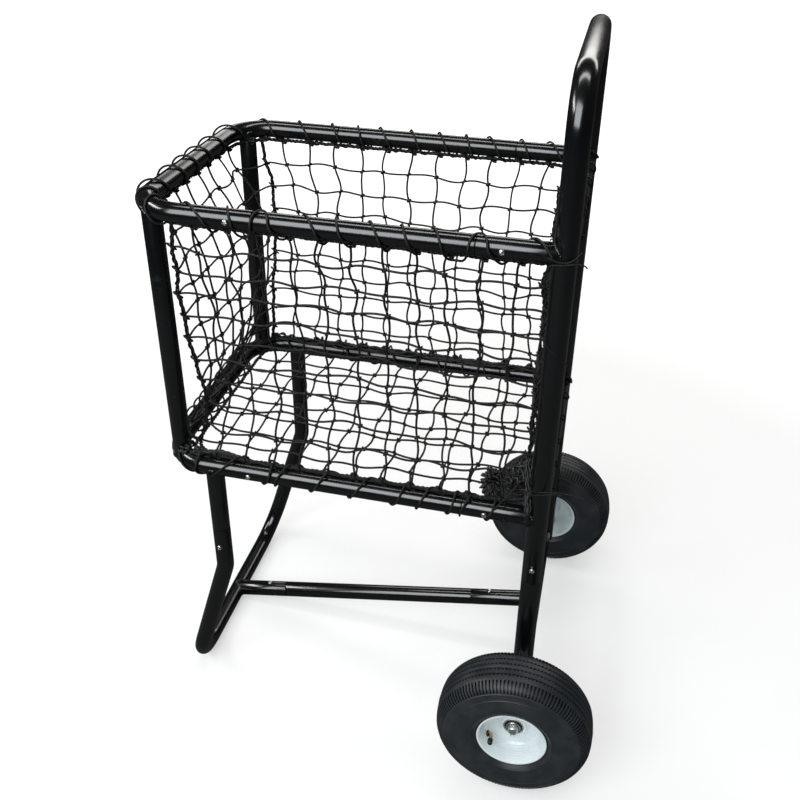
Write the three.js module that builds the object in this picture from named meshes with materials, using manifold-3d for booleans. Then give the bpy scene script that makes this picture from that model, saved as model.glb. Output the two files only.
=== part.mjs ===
import * as THREE from "three";
import { mergeVertices } from "three/addons/utils/BufferGeometryUtils.js";
import Module from "manifold-3d";

// Ball cart: a net basket in a bolted tube frame, with a push handle, two wheels and a stand.
// Millimetres. X runs from the stand end to the handle, Y from the near side to the far side, Z up.
// The pieces are laid out from the near front corner of the basket and moved to the frame's origin last.

// Basket and handle
const BASKET_LENGTH = 622;
const BASKET_WIDTH = 414;
const TOP_RAIL_HEIGHT = 950;
const BOTTOM_RAIL_HEIGHT = 505;
const HANDLE_RISE = 224;
const HOOP_BEND_RADIUS = 71;
const HANDLE_BEND_RADIUS = 68;

// Tubes and their slip joints
const TUBE_DIAMETER = 30;
const HANDLE_TUBE_DIAMETER = 33;
const TUBE_WALL = 1.5;
const FRONT_SEAM_SETBACK = 187;
const REAR_SEAM_SETBACK = 118;
const SPIGOT_LENGTH = 56;
const SCREW_SETBACK = 36;
const HANDLE_SEAM_HEIGHT = 379;
const HANDLE_SCREW_RISE = 30;
const SCREW_SHANK_DIAMETER = 4.5;
const SCREW_SHANK_LENGTH = 6.75;
const SCREW_HEAD_DIAMETER = 9;
const SCREW_HEAD_HEIGHT = 3;

// Stand and brace
const STAND_SETBACK = 86;
const STAND_BAR_SETBACK = 3;
const STAND_SEAM_HEIGHT = 375;
const STAND_KINK_HEIGHT = 286;
const STAND_KINK_RADIUS = 60;
const STAND_CORNER_RADIUS = 78;
const BRACE_FRONT_SEAM = 113;
const BRACE_REAR_SEAM = 122;

// Wheels and axle
const WHEEL_RADIUS = 130;
const TYRE_WIDTH = 90;
const WHEEL_OFFSET = 81;
const RIM_LIP_RADIUS = 58;
const RIM_BEAD_RADIUS = 50.3;
const RIM_WIDTH = 78;
const RIM_THICKNESS = 2.5;
const RIM_DISC_OFFSET = 0.5;
const HUB_DIAMETER = 41;
const HUB_OUTER_REACH = 11;
const HUB_INNER_REACH = 47;
const BEARING_DIAMETER = 35;
const BEARING_WIDTH = 11;
const AXLE_DIAMETER = 16;
const AXLE_REACH = 22;
const AXLE_CHAMFER = 1.5;
const SLEEVE_DIAMETER = 25;
const LEG_OVERRUN = 20;
const WASHER_DIAMETER = 24;
const WASHER_THICKNESS = 2;
const PIN_WIRE_DIAMETER = 1.4;
const PIN_DROP = 17;
const VALVE_RADIUS = 40;
const VALVE_PLANE = 15;
const VALVE_REACH = 29;
const VALVE_DIAMETER = 6;
const VALVE_BORE_DIAMETER = 2;
const VALVE_BEND_RADIUS = 6;
const VALVE_CAP_DIAMETER = 9;
const VALVE_CAP_LENGTH = 9;

// Net, lacing and the bundle of surplus net
const TWINE_DIAMETER = 2.4;
const NET_STANDOFF = 19;
const REAR_STANDOFF = 10;
const NET_BOW = 20;
const NET_SAG = 9;
const LACING_DIAMETER = 2.2;
const LACING_RADIUS = 19.7;
const FLOOR_LACING_RADIUS = 20.3;
const LACING_OFFSET = 1.5;
const LACING_RUN = 30;
const BUNDLE_LENGTH = 78;
const BUNDLE_RADIUS = 27;

// Clearances
const GAP = 0.3;
const BORE_CLEARANCE = 0.3;
const SCREW_CLEARANCE = 0.3;
const TUBE_CLEARANCE = 0.6;
const VALVE_CLEARANCE = 0.8;
const BORDER_CLEARANCE = 0.5;

// Counts and angles
const TUBE_SIDES = 12;
const BEND_STEP = Math.PI / 6;
const WHEEL_SEGMENTS = 22;
const RING_SEGMENTS = 12;
const HEAD_SIDES = 6;
const HOLE_SIDES = 6;
const WIRE_SIDES = 5;
const VALVE_ANGLE = Math.PI / 6;
const CELLS_ALONG = 8;
const CELLS_ACROSS = 5;
const CELLS_DOWN = 6;
const LACING_STEPS = 8;
const LACING_SIDES = 3;

// Values that follow from the sizes
const TUBE_RADIUS = TUBE_DIAMETER / 2;
const HANDLE_RADIUS = HANDLE_TUBE_DIAMETER / 2;
const SLEEVE_RADIUS = SLEEVE_DIAMETER / 2;
const AXLE_RADIUS = AXLE_DIAMETER / 2;
const TWINE_RADIUS = TWINE_DIAMETER / 2;
const FACET = Math.cos(Math.PI / TUBE_SIDES);
const HANDLE_HEIGHT = TOP_RAIL_HEIGHT + HANDLE_RISE;
const POST_INSET = HOOP_BEND_RADIUS * (1 - Math.SQRT1_2);
const STAND_BAR_HEIGHT = TUBE_RADIUS * FACET;
const FRONT_SEAM = FRONT_SEAM_SETBACK;
const REAR_SEAM = BASKET_LENGTH - REAR_SEAM_SETBACK;
const SPIGOT_RADIUS = (TUBE_RADIUS - TUBE_WALL) * FACET - GAP;
const LEG_SPIGOT_RADIUS = (HANDLE_RADIUS - TUBE_WALL) * FACET - GAP;
const SCREW_SHANK_RADIUS = SCREW_SHANK_DIAMETER / 2;
const SCREW_HOLE_RADIUS = (SCREW_SHANK_RADIUS + SCREW_CLEARANCE) / Math.cos(Math.PI / HOLE_SIDES);
const AXLE_BORE_RADIUS = (AXLE_RADIUS + BORE_CLEARANCE) / FACET;
const AXLE_HEIGHT = WHEEL_RADIUS;
const BORDER_DROP = TUBE_RADIUS * FACET + TWINE_RADIUS + BORDER_CLEARANCE;

const wasm = await Module();
wasm.setup();

// Finishes
const finish = (color, roughness, metalness) =>
  new THREE.MeshStandardMaterial({ color, roughness, metalness });
const BLACK_PAINT = finish(0x0c0e10, 0.35, 0.1);
const WHITE_PAINT = finish(0xe6ebe9, 0.4, 0.1);
const BLACK_TWINE = finish(0x14110f, 0.95, 0);
const TYRE_RUBBER = finish(0x1a1b1c, 0.85, 0);
const TUBE_RUBBER = finish(0x202020, 0.8, 0);
const BRIGHT_STEEL = finish(0xc9ccce, 0.3, 1);
const BEARING_STEEL = finish(0x9a9da0, 0.35, 1);
const CAP_PLASTIC = finish(0x101010, 0.5, 0);

const cart = new THREE.Group();
cart.name = "ball_cart";

const vec = (x, y, z) => new THREE.Vector3(x, y, z);

// Add one named piece
function place(name, shape, material, x = 0, y = 0, z = 0, parent = cart) {
  const geometry = shape.isBufferGeometry ? shape : geometryOf(shape);
  geometry.computeVertexNormals();
  const mesh = new THREE.Mesh(geometry, material);
  mesh.name = name;
  mesh.position.set(x, y, z);
  parent.add(mesh);
  return mesh;
}

// Six times the signed volume inside a geometry's faces
function signedVolume(geometry) {
  const index = geometry.index.array;
  const position = geometry.attributes.position;
  const corner = [vec(0, 0, 0), vec(0, 0, 0), vec(0, 0, 0)];
  let sum = 0;
  for (let i = 0; i < index.length; i += 3) {
    corner.forEach((point, k) => point.fromBufferAttribute(position, index[i + k]));
    sum += corner[0].dot(corner[1].clone().cross(corner[2]));
  }
  return sum;
}

// Weld a geometry's vertices and turn its faces outwards
function welded(geometry) {
  const bare = geometry.clone();
  bare.deleteAttribute("normal");
  bare.deleteAttribute("uv");
  const merged = mergeVertices(bare);
  if (signedVolume(merged) < 0) {
    const index = merged.index.array;
    for (let i = 0; i < index.length; i += 3) {
      [index[i + 1], index[i + 2]] = [index[i + 2], index[i + 1]];
    }
  }
  return merged;
}

// A geometry as a solid for adding and cutting
function solidOf(geometry) {
  const merged = welded(geometry);
  const vertProperties = new Float32Array(merged.attributes.position.array);
  const triVerts = new Uint32Array(merged.index.array);
  return new wasm.Manifold(new wasm.Mesh({ numProp: 3, vertProperties, triVerts }));
}

// A solid as a geometry
function geometryOf(solid) {
  const mesh = solid.getMesh();
  const geometry = new THREE.BufferGeometry();
  geometry.setAttribute("position", new THREE.BufferAttribute(mesh.vertProperties, 3));
  geometry.setIndex(new THREE.BufferAttribute(mesh.triVerts, 1));
  return geometry;
}

// A path known only at its steps, with the exact direction at each of them
class StepPath extends THREE.Curve {
  constructor(points, tangents) {
    super();
    this.points = points;
    this.tangents = tangents;
  }
  step(t) {
    return Math.round(t * (this.points.length - 1));
  }
  getPoint(t, target = new THREE.Vector3()) {
    return target.copy(this.points[this.step(t)]);
  }
  getTangent(t, target = new THREE.Vector3()) {
    return target.copy(this.tangents[this.step(t)]);
  }
  getUtoTmapping(u) {
    return u;
  }
}

// A path of straight runs joined by round bends
function bentPath(corners, radii) {
  const points = [corners[0].clone()];
  const tangents = [corners[1].clone().sub(corners[0]).normalize()];
  for (let i = 1; i < corners.length - 1; i++) {
    const before = corners[i].clone().sub(corners[i - 1]).normalize();
    const after = corners[i + 1].clone().sub(corners[i]).normalize();
    const turn = before.angleTo(after);
    const radius = radii[i - 1];
    const axis = before.clone().cross(after).normalize();
    const start = corners[i].clone().addScaledVector(before, -radius * Math.tan(turn / 2));
    const centre = start.clone().addScaledVector(axis.clone().cross(before), radius);
    const steps = Math.max(1, Math.round(turn / BEND_STEP));
    for (let k = 0; k <= steps; k++) {
      const angle = (turn * k) / steps;
      points.push(start.clone().sub(centre).applyAxisAngle(axis, angle).add(centre));
      tangents.push(before.clone().applyAxisAngle(axis, angle));
    }
  }
  points.push(corners[corners.length - 1].clone());
  tangents.push(tangents[tangents.length - 1].clone());
  return new StepPath(points, tangents);
}

// The corner points of a tube's section
function section(radius, sides, turn) {
  const points = [];
  for (let k = 0; k < sides; k++) {
    const angle = turn + ((k + 0.5) * 2 * Math.PI) / sides;
    points.push(new THREE.Vector2(radius * Math.cos(angle), radius * Math.sin(angle)));
  }
  return points;
}

// A section swept along a path, hollow where it is given a wall
function swept(path, radius, wall = 0, sides = TUBE_SIDES, turn = 0) {
  const shape = new THREE.Shape(section(radius, sides, turn));
  if (wall > 0) shape.holes.push(new THREE.Path(section(radius - wall, sides, turn)));
  const steps = path.points.length - 1;
  return new THREE.ExtrudeGeometry(shape, { steps, extrudePath: path, bevelEnabled: false });
}

const tube = (corners, radii, radius, wall, turn) =>
  solidOf(swept(bentPath(corners, radii), radius, wall, TUBE_SIDES, turn));

// A turned body about Y from rows of radius and height
function turned(rows, segments, phase = 0) {
  const points = rows.map(([radius, height]) => new THREE.Vector2(radius, height));
  points.push(points[0].clone());
  return new THREE.LatheGeometry(points, segments, phase);
}

// A tube along Y between two heights, each end plain or drawn down to a spigot
function spigotTube(low, high, radius, spigot, lowSpigot, highSpigot) {
  const bore = radius - TUBE_WALL;
  const neck = spigot - TUBE_WALL;
  const outer = [];
  const inner = [];
  if (lowSpigot) {
    outer.push([spigot, low - SPIGOT_LENGTH], [spigot, low]);
    inner.push([neck, low - SPIGOT_LENGTH], [neck, low + TUBE_WALL]);
  }
  outer.push([radius, low], [radius, high]);
  inner.push([bore, low + (lowSpigot ? TUBE_WALL : 0)], [bore, high - (highSpigot ? TUBE_WALL : 0)]);
  if (highSpigot) {
    outer.push([spigot, high], [spigot, high + SPIGOT_LENGTH]);
    inner.push([neck, high - TUBE_WALL], [neck, high + SPIGOT_LENGTH]);
  }
  return turned([...outer, ...inner.reverse()], TUBE_SIDES, Math.PI / TUBE_SIDES);
}

// Drill one wall of a tube from its axis outwards
function drilled(solid, axisPoint, direction) {
  const reach = HANDLE_TUBE_DIAMETER;
  const end = axisPoint.clone().addScaledVector(direction, reach);
  const cutter = swept(bentPath([axisPoint, end], []), SCREW_HOLE_RADIUS, 0, HOLE_SIDES);
  return solid.subtract(solidOf(cutter));
}

const NEAR = vec(0, -1, 0);
const FAR = vec(0, 1, 0);

// A straight solid bar used to cope the tubes that meet it
const bar = (from, to, radius) => tube([from, to], [], radius, 0);
const fitRadius = (radius) => radius + GAP / FACET;

// Handle frame: one tube bent to a U, with its two posts drilled for the leg screws
const HANDLE_CORNERS = [
  vec(BASKET_LENGTH, 0, HANDLE_SEAM_HEIGHT),
  vec(BASKET_LENGTH, 0, HANDLE_HEIGHT),
  vec(BASKET_LENGTH, BASKET_WIDTH, HANDLE_HEIGHT),
  vec(BASKET_LENGTH, BASKET_WIDTH, HANDLE_SEAM_HEIGHT),
];
const HANDLE_RADII = [HANDLE_BEND_RADIUS, HANDLE_BEND_RADIUS];
const HANDLE_SCREW_HEIGHT = HANDLE_SEAM_HEIGHT + HANDLE_SCREW_RISE;

function addHandle() {
  let frame = tube(HANDLE_CORNERS, HANDLE_RADII, HANDLE_RADIUS, TUBE_WALL);
  frame = drilled(frame, vec(BASKET_LENGTH, 0, HANDLE_SCREW_HEIGHT), NEAR);
  frame = drilled(frame, vec(BASKET_LENGTH, BASKET_WIDTH, HANDLE_SCREW_HEIGHT), FAR);
  place("handle_frame", frame, BLACK_PAINT);
}

// The handle post as a cutter standing at a place along the width
function postCutter(y) {
  const low = vec(0, y, -HANDLE_TUBE_DIAMETER);
  const high = vec(0, y, HANDLE_TUBE_DIAMETER);
  return bar(low, high, fitRadius(HANDLE_RADIUS));
}

// The two crossbars between the handle posts, coped round the posts and the rail sockets
function addCrossbars() {
  let crossbar = tube([vec(0, 0, 0), vec(0, BASKET_WIDTH, 0)], [], TUBE_RADIUS, TUBE_WALL);
  for (const y of [0, BASKET_WIDTH]) {
    const socket = bar(vec(-HANDLE_TUBE_DIAMETER, y, 0), vec(0, y, 0), fitRadius(TUBE_RADIUS));
    crossbar = crossbar.subtract(postCutter(y)).subtract(socket);
  }
  const geometry = geometryOf(crossbar);
  place("handle_top_crossbar", geometry, BLACK_PAINT, BASKET_LENGTH, 0, TOP_RAIL_HEIGHT);
  place("handle_bottom_crossbar", geometry.clone(), BLACK_PAINT, BASKET_LENGTH, 0, BOTTOM_RAIL_HEIGHT);
}

// Four short rail sockets on the handle posts
const LEVELS = [
  ["top", TOP_RAIL_HEIGHT],
  ["bottom", BOTTOM_RAIL_HEIGHT],
];

function addRailSockets() {
  let socket = tube([vec(-REAR_SEAM_SETBACK, 0, 0), vec(0, 0, 0)], [], TUBE_RADIUS, TUBE_WALL);
  socket = socket.subtract(postCutter(0));
  socket = drilled(socket, vec(SCREW_SETBACK - REAR_SEAM_SETBACK - GAP, 0, 0), NEAR);
  const geometry = geometryOf(socket);
  for (const [level, z] of LEVELS) {
    place(`rail_socket_${level}_near`, geometry.clone(), BLACK_PAINT, BASKET_LENGTH, 0, z);
    const far = place(`rail_socket_${level}_far`, geometry.clone(), BLACK_PAINT);
    far.position.set(BASKET_LENGTH, BASKET_WIDTH, z);
    far.rotation.x = Math.PI;
  }
}

// The front hoops: tubes bent round the front corners of the basket
const HOOP_CORNERS = [
  vec(FRONT_SEAM, 0, 0),
  vec(0, 0, 0),
  vec(0, BASKET_WIDTH, 0),
  vec(FRONT_SEAM, BASKET_WIDTH, 0),
];
const HOOP_RADII = [HOOP_BEND_RADIUS, HOOP_BEND_RADIUS];

function hoop() {
  let frame = tube(HOOP_CORNERS, HOOP_RADII, TUBE_RADIUS, TUBE_WALL);
  frame = drilled(frame, vec(FRONT_SEAM - SCREW_SETBACK, 0, 0), NEAR);
  return drilled(frame, vec(FRONT_SEAM - SCREW_SETBACK, BASKET_WIDTH, 0), FAR);
}

// A stand spigot welded under the bottom hoop, in the hoop's own frame
function standSpigot(y) {
  const seam = STAND_SEAM_HEIGHT + GAP - BOTTOM_RAIL_HEIGHT;
  const wall = tube(HOOP_CORNERS, HOOP_RADII, TUBE_RADIUS - TUBE_WALL / 2, 0);
  const shape = spigotTube(seam, 0, TUBE_RADIUS, SPIGOT_RADIUS, true, false);
  shape.rotateX(Math.PI / 2);
  shape.translate(STAND_SETBACK, y, 0);
  return drilledSpigot(solidOf(shape).subtract(wall), y, seam);
}

function drilledSpigot(spigot, y, seam) {
  const outwards = y > 0 ? FAR : NEAR;
  return drilled(spigot, vec(STAND_SETBACK, y, seam - GAP - SCREW_SETBACK), outwards);
}

function addHoops() {
  place("end_hoop_top", hoop(), BLACK_PAINT, 0, 0, TOP_RAIL_HEIGHT);
  const bottom = hoop().add(standSpigot(0)).add(standSpigot(BASKET_WIDTH));
  place("end_hoop_bottom", bottom, BLACK_PAINT, 0, 0, BOTTOM_RAIL_HEIGHT);
}

// The two front posts, coped onto the hoops' bends
function addEndPosts() {
  const half = (TOP_RAIL_HEIGHT - BOTTOM_RAIL_HEIGHT) / 2;
  const corner = Math.PI / TUBE_SIDES;
  let post = tube([vec(0, 0, -half), vec(0, 0, half)], [], TUBE_RADIUS, TUBE_WALL, corner);
  for (const z of [-half, half]) {
    const corners = HOOP_CORNERS.map((point) => vec(point.x - POST_INSET, point.y - POST_INSET, z));
    post = post.subtract(tube(corners, HOOP_RADII, fitRadius(TUBE_RADIUS), 0));
  }
  const geometry = geometryOf(post);
  const height = BOTTOM_RAIL_HEIGHT + half;
  place("end_post_near", geometry, BLACK_PAINT, POST_INSET, POST_INSET, height);
  const far = place("end_post_far", geometry.clone(), BLACK_PAINT);
  far.position.set(POST_INSET, BASKET_WIDTH - POST_INSET, height);
  far.rotation.x = Math.PI;
}

// Four side rails, drawn down at both ends to slide into the hoops and the rail sockets
function addSideRails() {
  const span = REAR_SEAM - FRONT_SEAM;
  const shape = spigotTube(GAP, span - GAP, TUBE_RADIUS, SPIGOT_RADIUS, true, true);
  shape.rotateZ(-Math.PI / 2);
  let rail = drilled(solidOf(shape), vec(-SCREW_SETBACK, 0, 0), NEAR);
  rail = drilled(rail, vec(span + SCREW_SETBACK - GAP, 0, 0), NEAR);
  const geometry = geometryOf(rail);
  for (const [level, z] of LEVELS) {
    place(`side_rail_${level}_near`, geometry.clone(), BLACK_PAINT, FRONT_SEAM, 0, z);
    const far = place(`side_rail_${level}_far`, geometry.clone(), BLACK_PAINT);
    far.position.set(FRONT_SEAM, BASKET_WIDTH, z);
    far.rotation.x = Math.PI;
  }
}

// Brace line from the stand's floor bar up to the axle sleeve
const BRACE_FROM = vec(STAND_BAR_SETBACK, BASKET_WIDTH / 2, STAND_BAR_HEIGHT);
const BRACE_TO = vec(BASKET_LENGTH, BASKET_WIDTH / 2, AXLE_HEIGHT);
const BRACE_DIRECTION = BRACE_TO.clone().sub(BRACE_FROM).normalize();
const BRACE_ANGLE = Math.atan2(BRACE_DIRECTION.z, BRACE_DIRECTION.x);
const BRACE_LENGTH = BRACE_TO.distanceTo(BRACE_FROM);
const BRACE_UP = vec(-Math.sin(BRACE_ANGLE), 0, Math.cos(BRACE_ANGLE));
const alongBrace = (distance) => BRACE_FROM.clone().addScaledVector(BRACE_DIRECTION, distance);

// Stand loop: one bent tube kinked forward, with the brace's front socket on its floor bar
const STAND_CORNERS = [
  vec(STAND_SETBACK, 0, STAND_SEAM_HEIGHT),
  vec(STAND_SETBACK, 0, STAND_KINK_HEIGHT),
  vec(STAND_BAR_SETBACK, 0, STAND_BAR_HEIGHT),
  vec(STAND_BAR_SETBACK, BASKET_WIDTH, STAND_BAR_HEIGHT),
  vec(STAND_SETBACK, BASKET_WIDTH, STAND_KINK_HEIGHT),
  vec(STAND_SETBACK, BASKET_WIDTH, STAND_SEAM_HEIGHT),
];
const STAND_RADII = [STAND_KINK_RADIUS, STAND_CORNER_RADIUS, STAND_CORNER_RADIUS, STAND_KINK_RADIUS];
const STAND_LEAN = Math.atan2(STAND_SETBACK - STAND_BAR_SETBACK, STAND_KINK_HEIGHT - STAND_BAR_HEIGHT);

function addStand() {
  let loop = tube(STAND_CORNERS, STAND_RADII, TUBE_RADIUS, TUBE_WALL, -STAND_LEAN);
  const core = tube(STAND_CORNERS, STAND_RADII, TUBE_RADIUS - TUBE_WALL / 2, 0, -STAND_LEAN);
  let socket = tube([alongBrace(0), alongBrace(BRACE_FRONT_SEAM)], [], TUBE_RADIUS, TUBE_WALL);
  socket = drilled(socket.subtract(core), alongBrace(BRACE_FRONT_SEAM - SCREW_SETBACK), BRACE_UP);
  const screwHeight = STAND_SEAM_HEIGHT - SCREW_SETBACK;
  loop = drilled(loop, vec(STAND_SETBACK, 0, screwHeight), NEAR);
  loop = drilled(loop, vec(STAND_SETBACK, BASKET_WIDTH, screwHeight), FAR);
  place("stand_loop", loop.add(socket), BLACK_PAINT);
}

function addBrace() {
  const low = BRACE_FRONT_SEAM + GAP;
  const high = BRACE_LENGTH - BRACE_REAR_SEAM - GAP;
  const shape = spigotTube(low, high, TUBE_RADIUS, SPIGOT_RADIUS, true, true);
  shape.rotateZ(-Math.PI / 2);
  const up = vec(0, 0, 1);
  let brace = drilled(solidOf(shape), vec(BRACE_FRONT_SEAM - SCREW_SETBACK, 0, 0), up);
  brace = drilled(brace, vec(BRACE_LENGTH - BRACE_REAR_SEAM + SCREW_SETBACK, 0, 0), up);
  const mesh = place("brace_tube", brace, BLACK_PAINT);
  mesh.position.copy(BRACE_FROM);
  mesh.rotation.y = -BRACE_ANGLE;
}

// Wheel legs: they slide up into the handle posts and the axle sleeve runs through their feet
function addLegs() {
  const low = AXLE_HEIGHT - LEG_OVERRUN;
  const shape = spigotTube(low, HANDLE_SEAM_HEIGHT - GAP, HANDLE_RADIUS, LEG_SPIGOT_RADIUS, false, true);
  shape.rotateX(Math.PI / 2);
  const reach = HANDLE_TUBE_DIAMETER;
  const sleeve = bar(vec(0, -reach, AXLE_HEIGHT), vec(0, reach, AXLE_HEIGHT), fitRadius(SLEEVE_RADIUS));
  const leg = drilled(solidOf(shape).subtract(sleeve), vec(0, 0, HANDLE_SCREW_HEIGHT), NEAR);
  const geometry = geometryOf(leg);
  place("wheel_leg_near", geometry, BLACK_PAINT, BASKET_LENGTH, 0, 0);
  const far = place("wheel_leg_far", geometry.clone(), BLACK_PAINT, BASKET_LENGTH, BASKET_WIDTH, 0);
  far.rotation.z = Math.PI;
}

// Axle sleeve with the brace's rear socket
const SLEEVE_REACH = WHEEL_OFFSET - HUB_INNER_REACH - GAP;

function addAxleSleeve() {
  const from = vec(BASKET_LENGTH, -SLEEVE_REACH, AXLE_HEIGHT);
  const to = vec(BASKET_LENGTH, BASKET_WIDTH + SLEEVE_REACH, AXLE_HEIGHT);
  const sleeve = tube([from, to], [], SLEEVE_RADIUS, SLEEVE_RADIUS - AXLE_BORE_RADIUS);
  const core = bar(from, to, SLEEVE_RADIUS - TUBE_WALL / 2);
  const seam = alongBrace(BRACE_LENGTH - BRACE_REAR_SEAM);
  let socket = tube([seam, BRACE_TO], [], TUBE_RADIUS, TUBE_WALL).subtract(core);
  socket = drilled(socket, alongBrace(BRACE_LENGTH - BRACE_REAR_SEAM + SCREW_SETBACK), BRACE_UP);
  place("axle_sleeve", sleeve.add(socket), BLACK_PAINT);
}

// Axle rod, cross-drilled at both ends for the split pins
const AXLE_END = WHEEL_OFFSET + AXLE_REACH;
const PIN_PLANE = (HUB_OUTER_REACH + GAP + WASHER_THICKNESS + AXLE_REACH) / 2;
const PIN_SPREAD = PIN_WIRE_DIAMETER / 2 + GAP;
const PIN_HOLE_RADIUS = (PIN_SPREAD + PIN_WIRE_DIAMETER / 2 + GAP) / Math.cos(Math.PI / HOLE_SIDES);

function addAxle() {
  const half = BASKET_WIDTH / 2 + AXLE_END;
  const chamfer = AXLE_CHAMFER;
  const rows = [
    [0, -half],
    [AXLE_RADIUS - chamfer, -half],
    [AXLE_RADIUS, chamfer - half],
    [AXLE_RADIUS, half - chamfer],
    [AXLE_RADIUS - chamfer, half],
    [0, half],
  ];
  let axle = solidOf(turned(rows, TUBE_SIDES, Math.PI / TUBE_SIDES));
  for (const side of [-1, 1]) {
    const y = side * (BASKET_WIDTH / 2 + WHEEL_OFFSET + PIN_PLANE);
    const line = bentPath([vec(0, y, -AXLE_DIAMETER), vec(0, y, AXLE_DIAMETER)], []);
    axle = axle.subtract(solidOf(swept(line, PIN_HOLE_RADIUS, 0, HOLE_SIDES)));
  }
  place("axle_rod", axle, BRIGHT_STEEL, BASKET_LENGTH, BASKET_WIDTH / 2, AXLE_HEIGHT);
}

// Tyre outline as shares of the wheel radius and of half the tyre width, from bead to tread
const TYRE_OUTER_SHARES = [
  [0.393, 0.74],
  [0.452, 0.805],
  [0.492, 0.92],
  [0.65, 1],
  [0.846, 0.966],
  [0.946, 0.8],
  [1, 0.5],
  [0.972, 0.33],
  [1, 0.17],
  [0.972, 0],
];
const TYRE_INNER_SHARES = [
  [0.393, 0.6],
  [0.54, 0.82],
  [0.72, 0.87],
  [0.88, 0.78],
  [0.945, 0.4],
];
const AIR_SHARES = [
  [0.43, 0.42],
  [0.55, 0.76],
  [0.83, 0.74],
  [0.915, 0.36],
];

const scaled = (shares, radius, width) =>
  shares.map(([radiusShare, widthShare]) => [radiusShare * radius, widthShare * width]);
const mirrored = (rows) => rows.map(([radius, w]) => [radius, -w]).reverse();

function tyreRows() {
  const half = TYRE_WIDTH / 2;
  const outer = scaled(TYRE_OUTER_SHARES, WHEEL_RADIUS, half);
  const inner = scaled(TYRE_INNER_SHARES, WHEEL_RADIUS, half);
  const outside = [...outer, ...mirrored(outer).slice(1)];
  const inside = [...inner, ...mirrored(inner)];
  return [...outside, ...inside.reverse()];
}

// Inner tube: a hollow ring that fills the tyre, with a bent valve stem let into it
const BEAD_SHARE = 0.5;

function innerTubeRows() {
  const half = TYRE_WIDTH / 2;
  const middle = (RIM_BEAD_RADIUS + WHEEL_RADIUS) / 2;
  const rows = [[RIM_BEAD_RADIUS + TUBE_CLEARANCE, half * BEAD_SHARE]];
  for (const [radius, w] of scaled(TYRE_INNER_SHARES.slice(1), WHEEL_RADIUS, half)) {
    rows.push([radius + Math.sign(middle - radius) * TUBE_CLEARANCE, w - TUBE_CLEARANCE]);
  }
  return [...rows, ...mirrored(rows)];
}
function airRows() {
  const rows = scaled(AIR_SHARES, WHEEL_RADIUS, TYRE_WIDTH / 2);
  return [...rows, ...mirrored(rows)];
}

const VALVE_DIRECTION = vec(Math.cos(VALVE_ANGLE), 0, -Math.sin(VALVE_ANGLE));
const valvePoint = (radius, w) => VALVE_DIRECTION.clone().multiplyScalar(radius).setY(w);

function valveLine(start, end) {
  const corners = [valvePoint(start, VALVE_PLANE), valvePoint(VALVE_RADIUS, VALVE_PLANE)];
  return bentPath([...corners, valvePoint(VALVE_RADIUS, end)], [VALVE_BEND_RADIUS]);
}

function innerTube() {
  const root = RIM_BEAD_RADIUS + VALVE_DIAMETER;
  const stem = solidOf(swept(valveLine(root, VALVE_REACH), VALVE_DIAMETER / 2, 0, HOLE_SIDES));
  const boreEnd = VALVE_REACH + VALVE_DIAMETER;
  const boreLine = valveLine(root + VALVE_DIAMETER, boreEnd);
  const bore = solidOf(swept(boreLine, VALVE_BORE_DIAMETER / 2, 0, HOLE_SIDES));
  const skin = solidOf(turned(innerTubeRows(), WHEEL_SEGMENTS));
  const air = solidOf(turned(airRows(), RING_SEGMENTS));
  return geometryOf(skin.add(stem).subtract(air).subtract(bore));
}

// Rim: rolled lips, bead seats, a dished disc and a hub tube that holds two bearings
function rimRows() {
  const half = RIM_WIDTH / 2;
  const lip = half - RIM_THICKNESS;
  const well = RIM_BEAD_RADIUS - RIM_THICKNESS;
  const hub = HUB_DIAMETER / 2;
  const seat = (BEARING_DIAMETER / 2 + GAP) / FACET;
  const disc = RIM_DISC_OFFSET;
  return [
    [RIM_LIP_RADIUS, half],
    [RIM_LIP_RADIUS, lip],
    [RIM_BEAD_RADIUS, lip],
    [RIM_BEAD_RADIUS, -lip],
    [RIM_LIP_RADIUS, -lip],
    [RIM_LIP_RADIUS, -half],
    [well, -half],
    [well, disc],
    [hub, disc],
    [hub, -HUB_INNER_REACH],
    [seat, -HUB_INNER_REACH],
    [seat, HUB_OUTER_REACH],
    [hub, HUB_OUTER_REACH],
    [hub, disc + RIM_THICKNESS],
    [well, disc + RIM_THICKNESS],
    [well, half],
  ];
}

function rim() {
  const from = valvePoint(VALVE_RADIUS, VALVE_PLANE);
  const to = valvePoint(RIM_LIP_RADIUS, VALVE_PLANE);
  const radius = (VALVE_DIAMETER / 2 + VALVE_CLEARANCE) / Math.cos(Math.PI / HOLE_SIDES);
  const hole = solidOf(swept(bentPath([from, to], []), radius, 0, HOLE_SIDES));
  return geometryOf(solidOf(turned(rimRows(), WHEEL_SEGMENTS)).subtract(hole));
}

const ring = (inner, outer, low, high) =>
  turned([[inner, low], [outer, low], [outer, high], [inner, high]], RING_SEGMENTS, Math.PI / RING_SEGMENTS);

// Valve cap: a cup over the end of the stem
function valveCap() {
  const outer = VALVE_CAP_DIAMETER / 2;
  const inner = (VALVE_DIAMETER / 2 + GAP) / Math.cos(Math.PI / HEAD_SIDES);
  const top = VALVE_REACH + VALVE_DIAMETER / 2;
  const rows = [
    [0, top],
    [outer, top],
    [outer, top - VALVE_CAP_LENGTH],
    [inner, top - VALVE_CAP_LENGTH],
    [inner, VALVE_REACH + GAP],
    [0, VALVE_REACH + GAP],
  ];
  return turned(rows, HEAD_SIDES);
}

// Split pin: a wire folded to an eye above the axle, its two legs spread below
const PIN_EYE_SHARE = 0.17;
const PIN_SPLAY_SHARE = 3;

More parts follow.
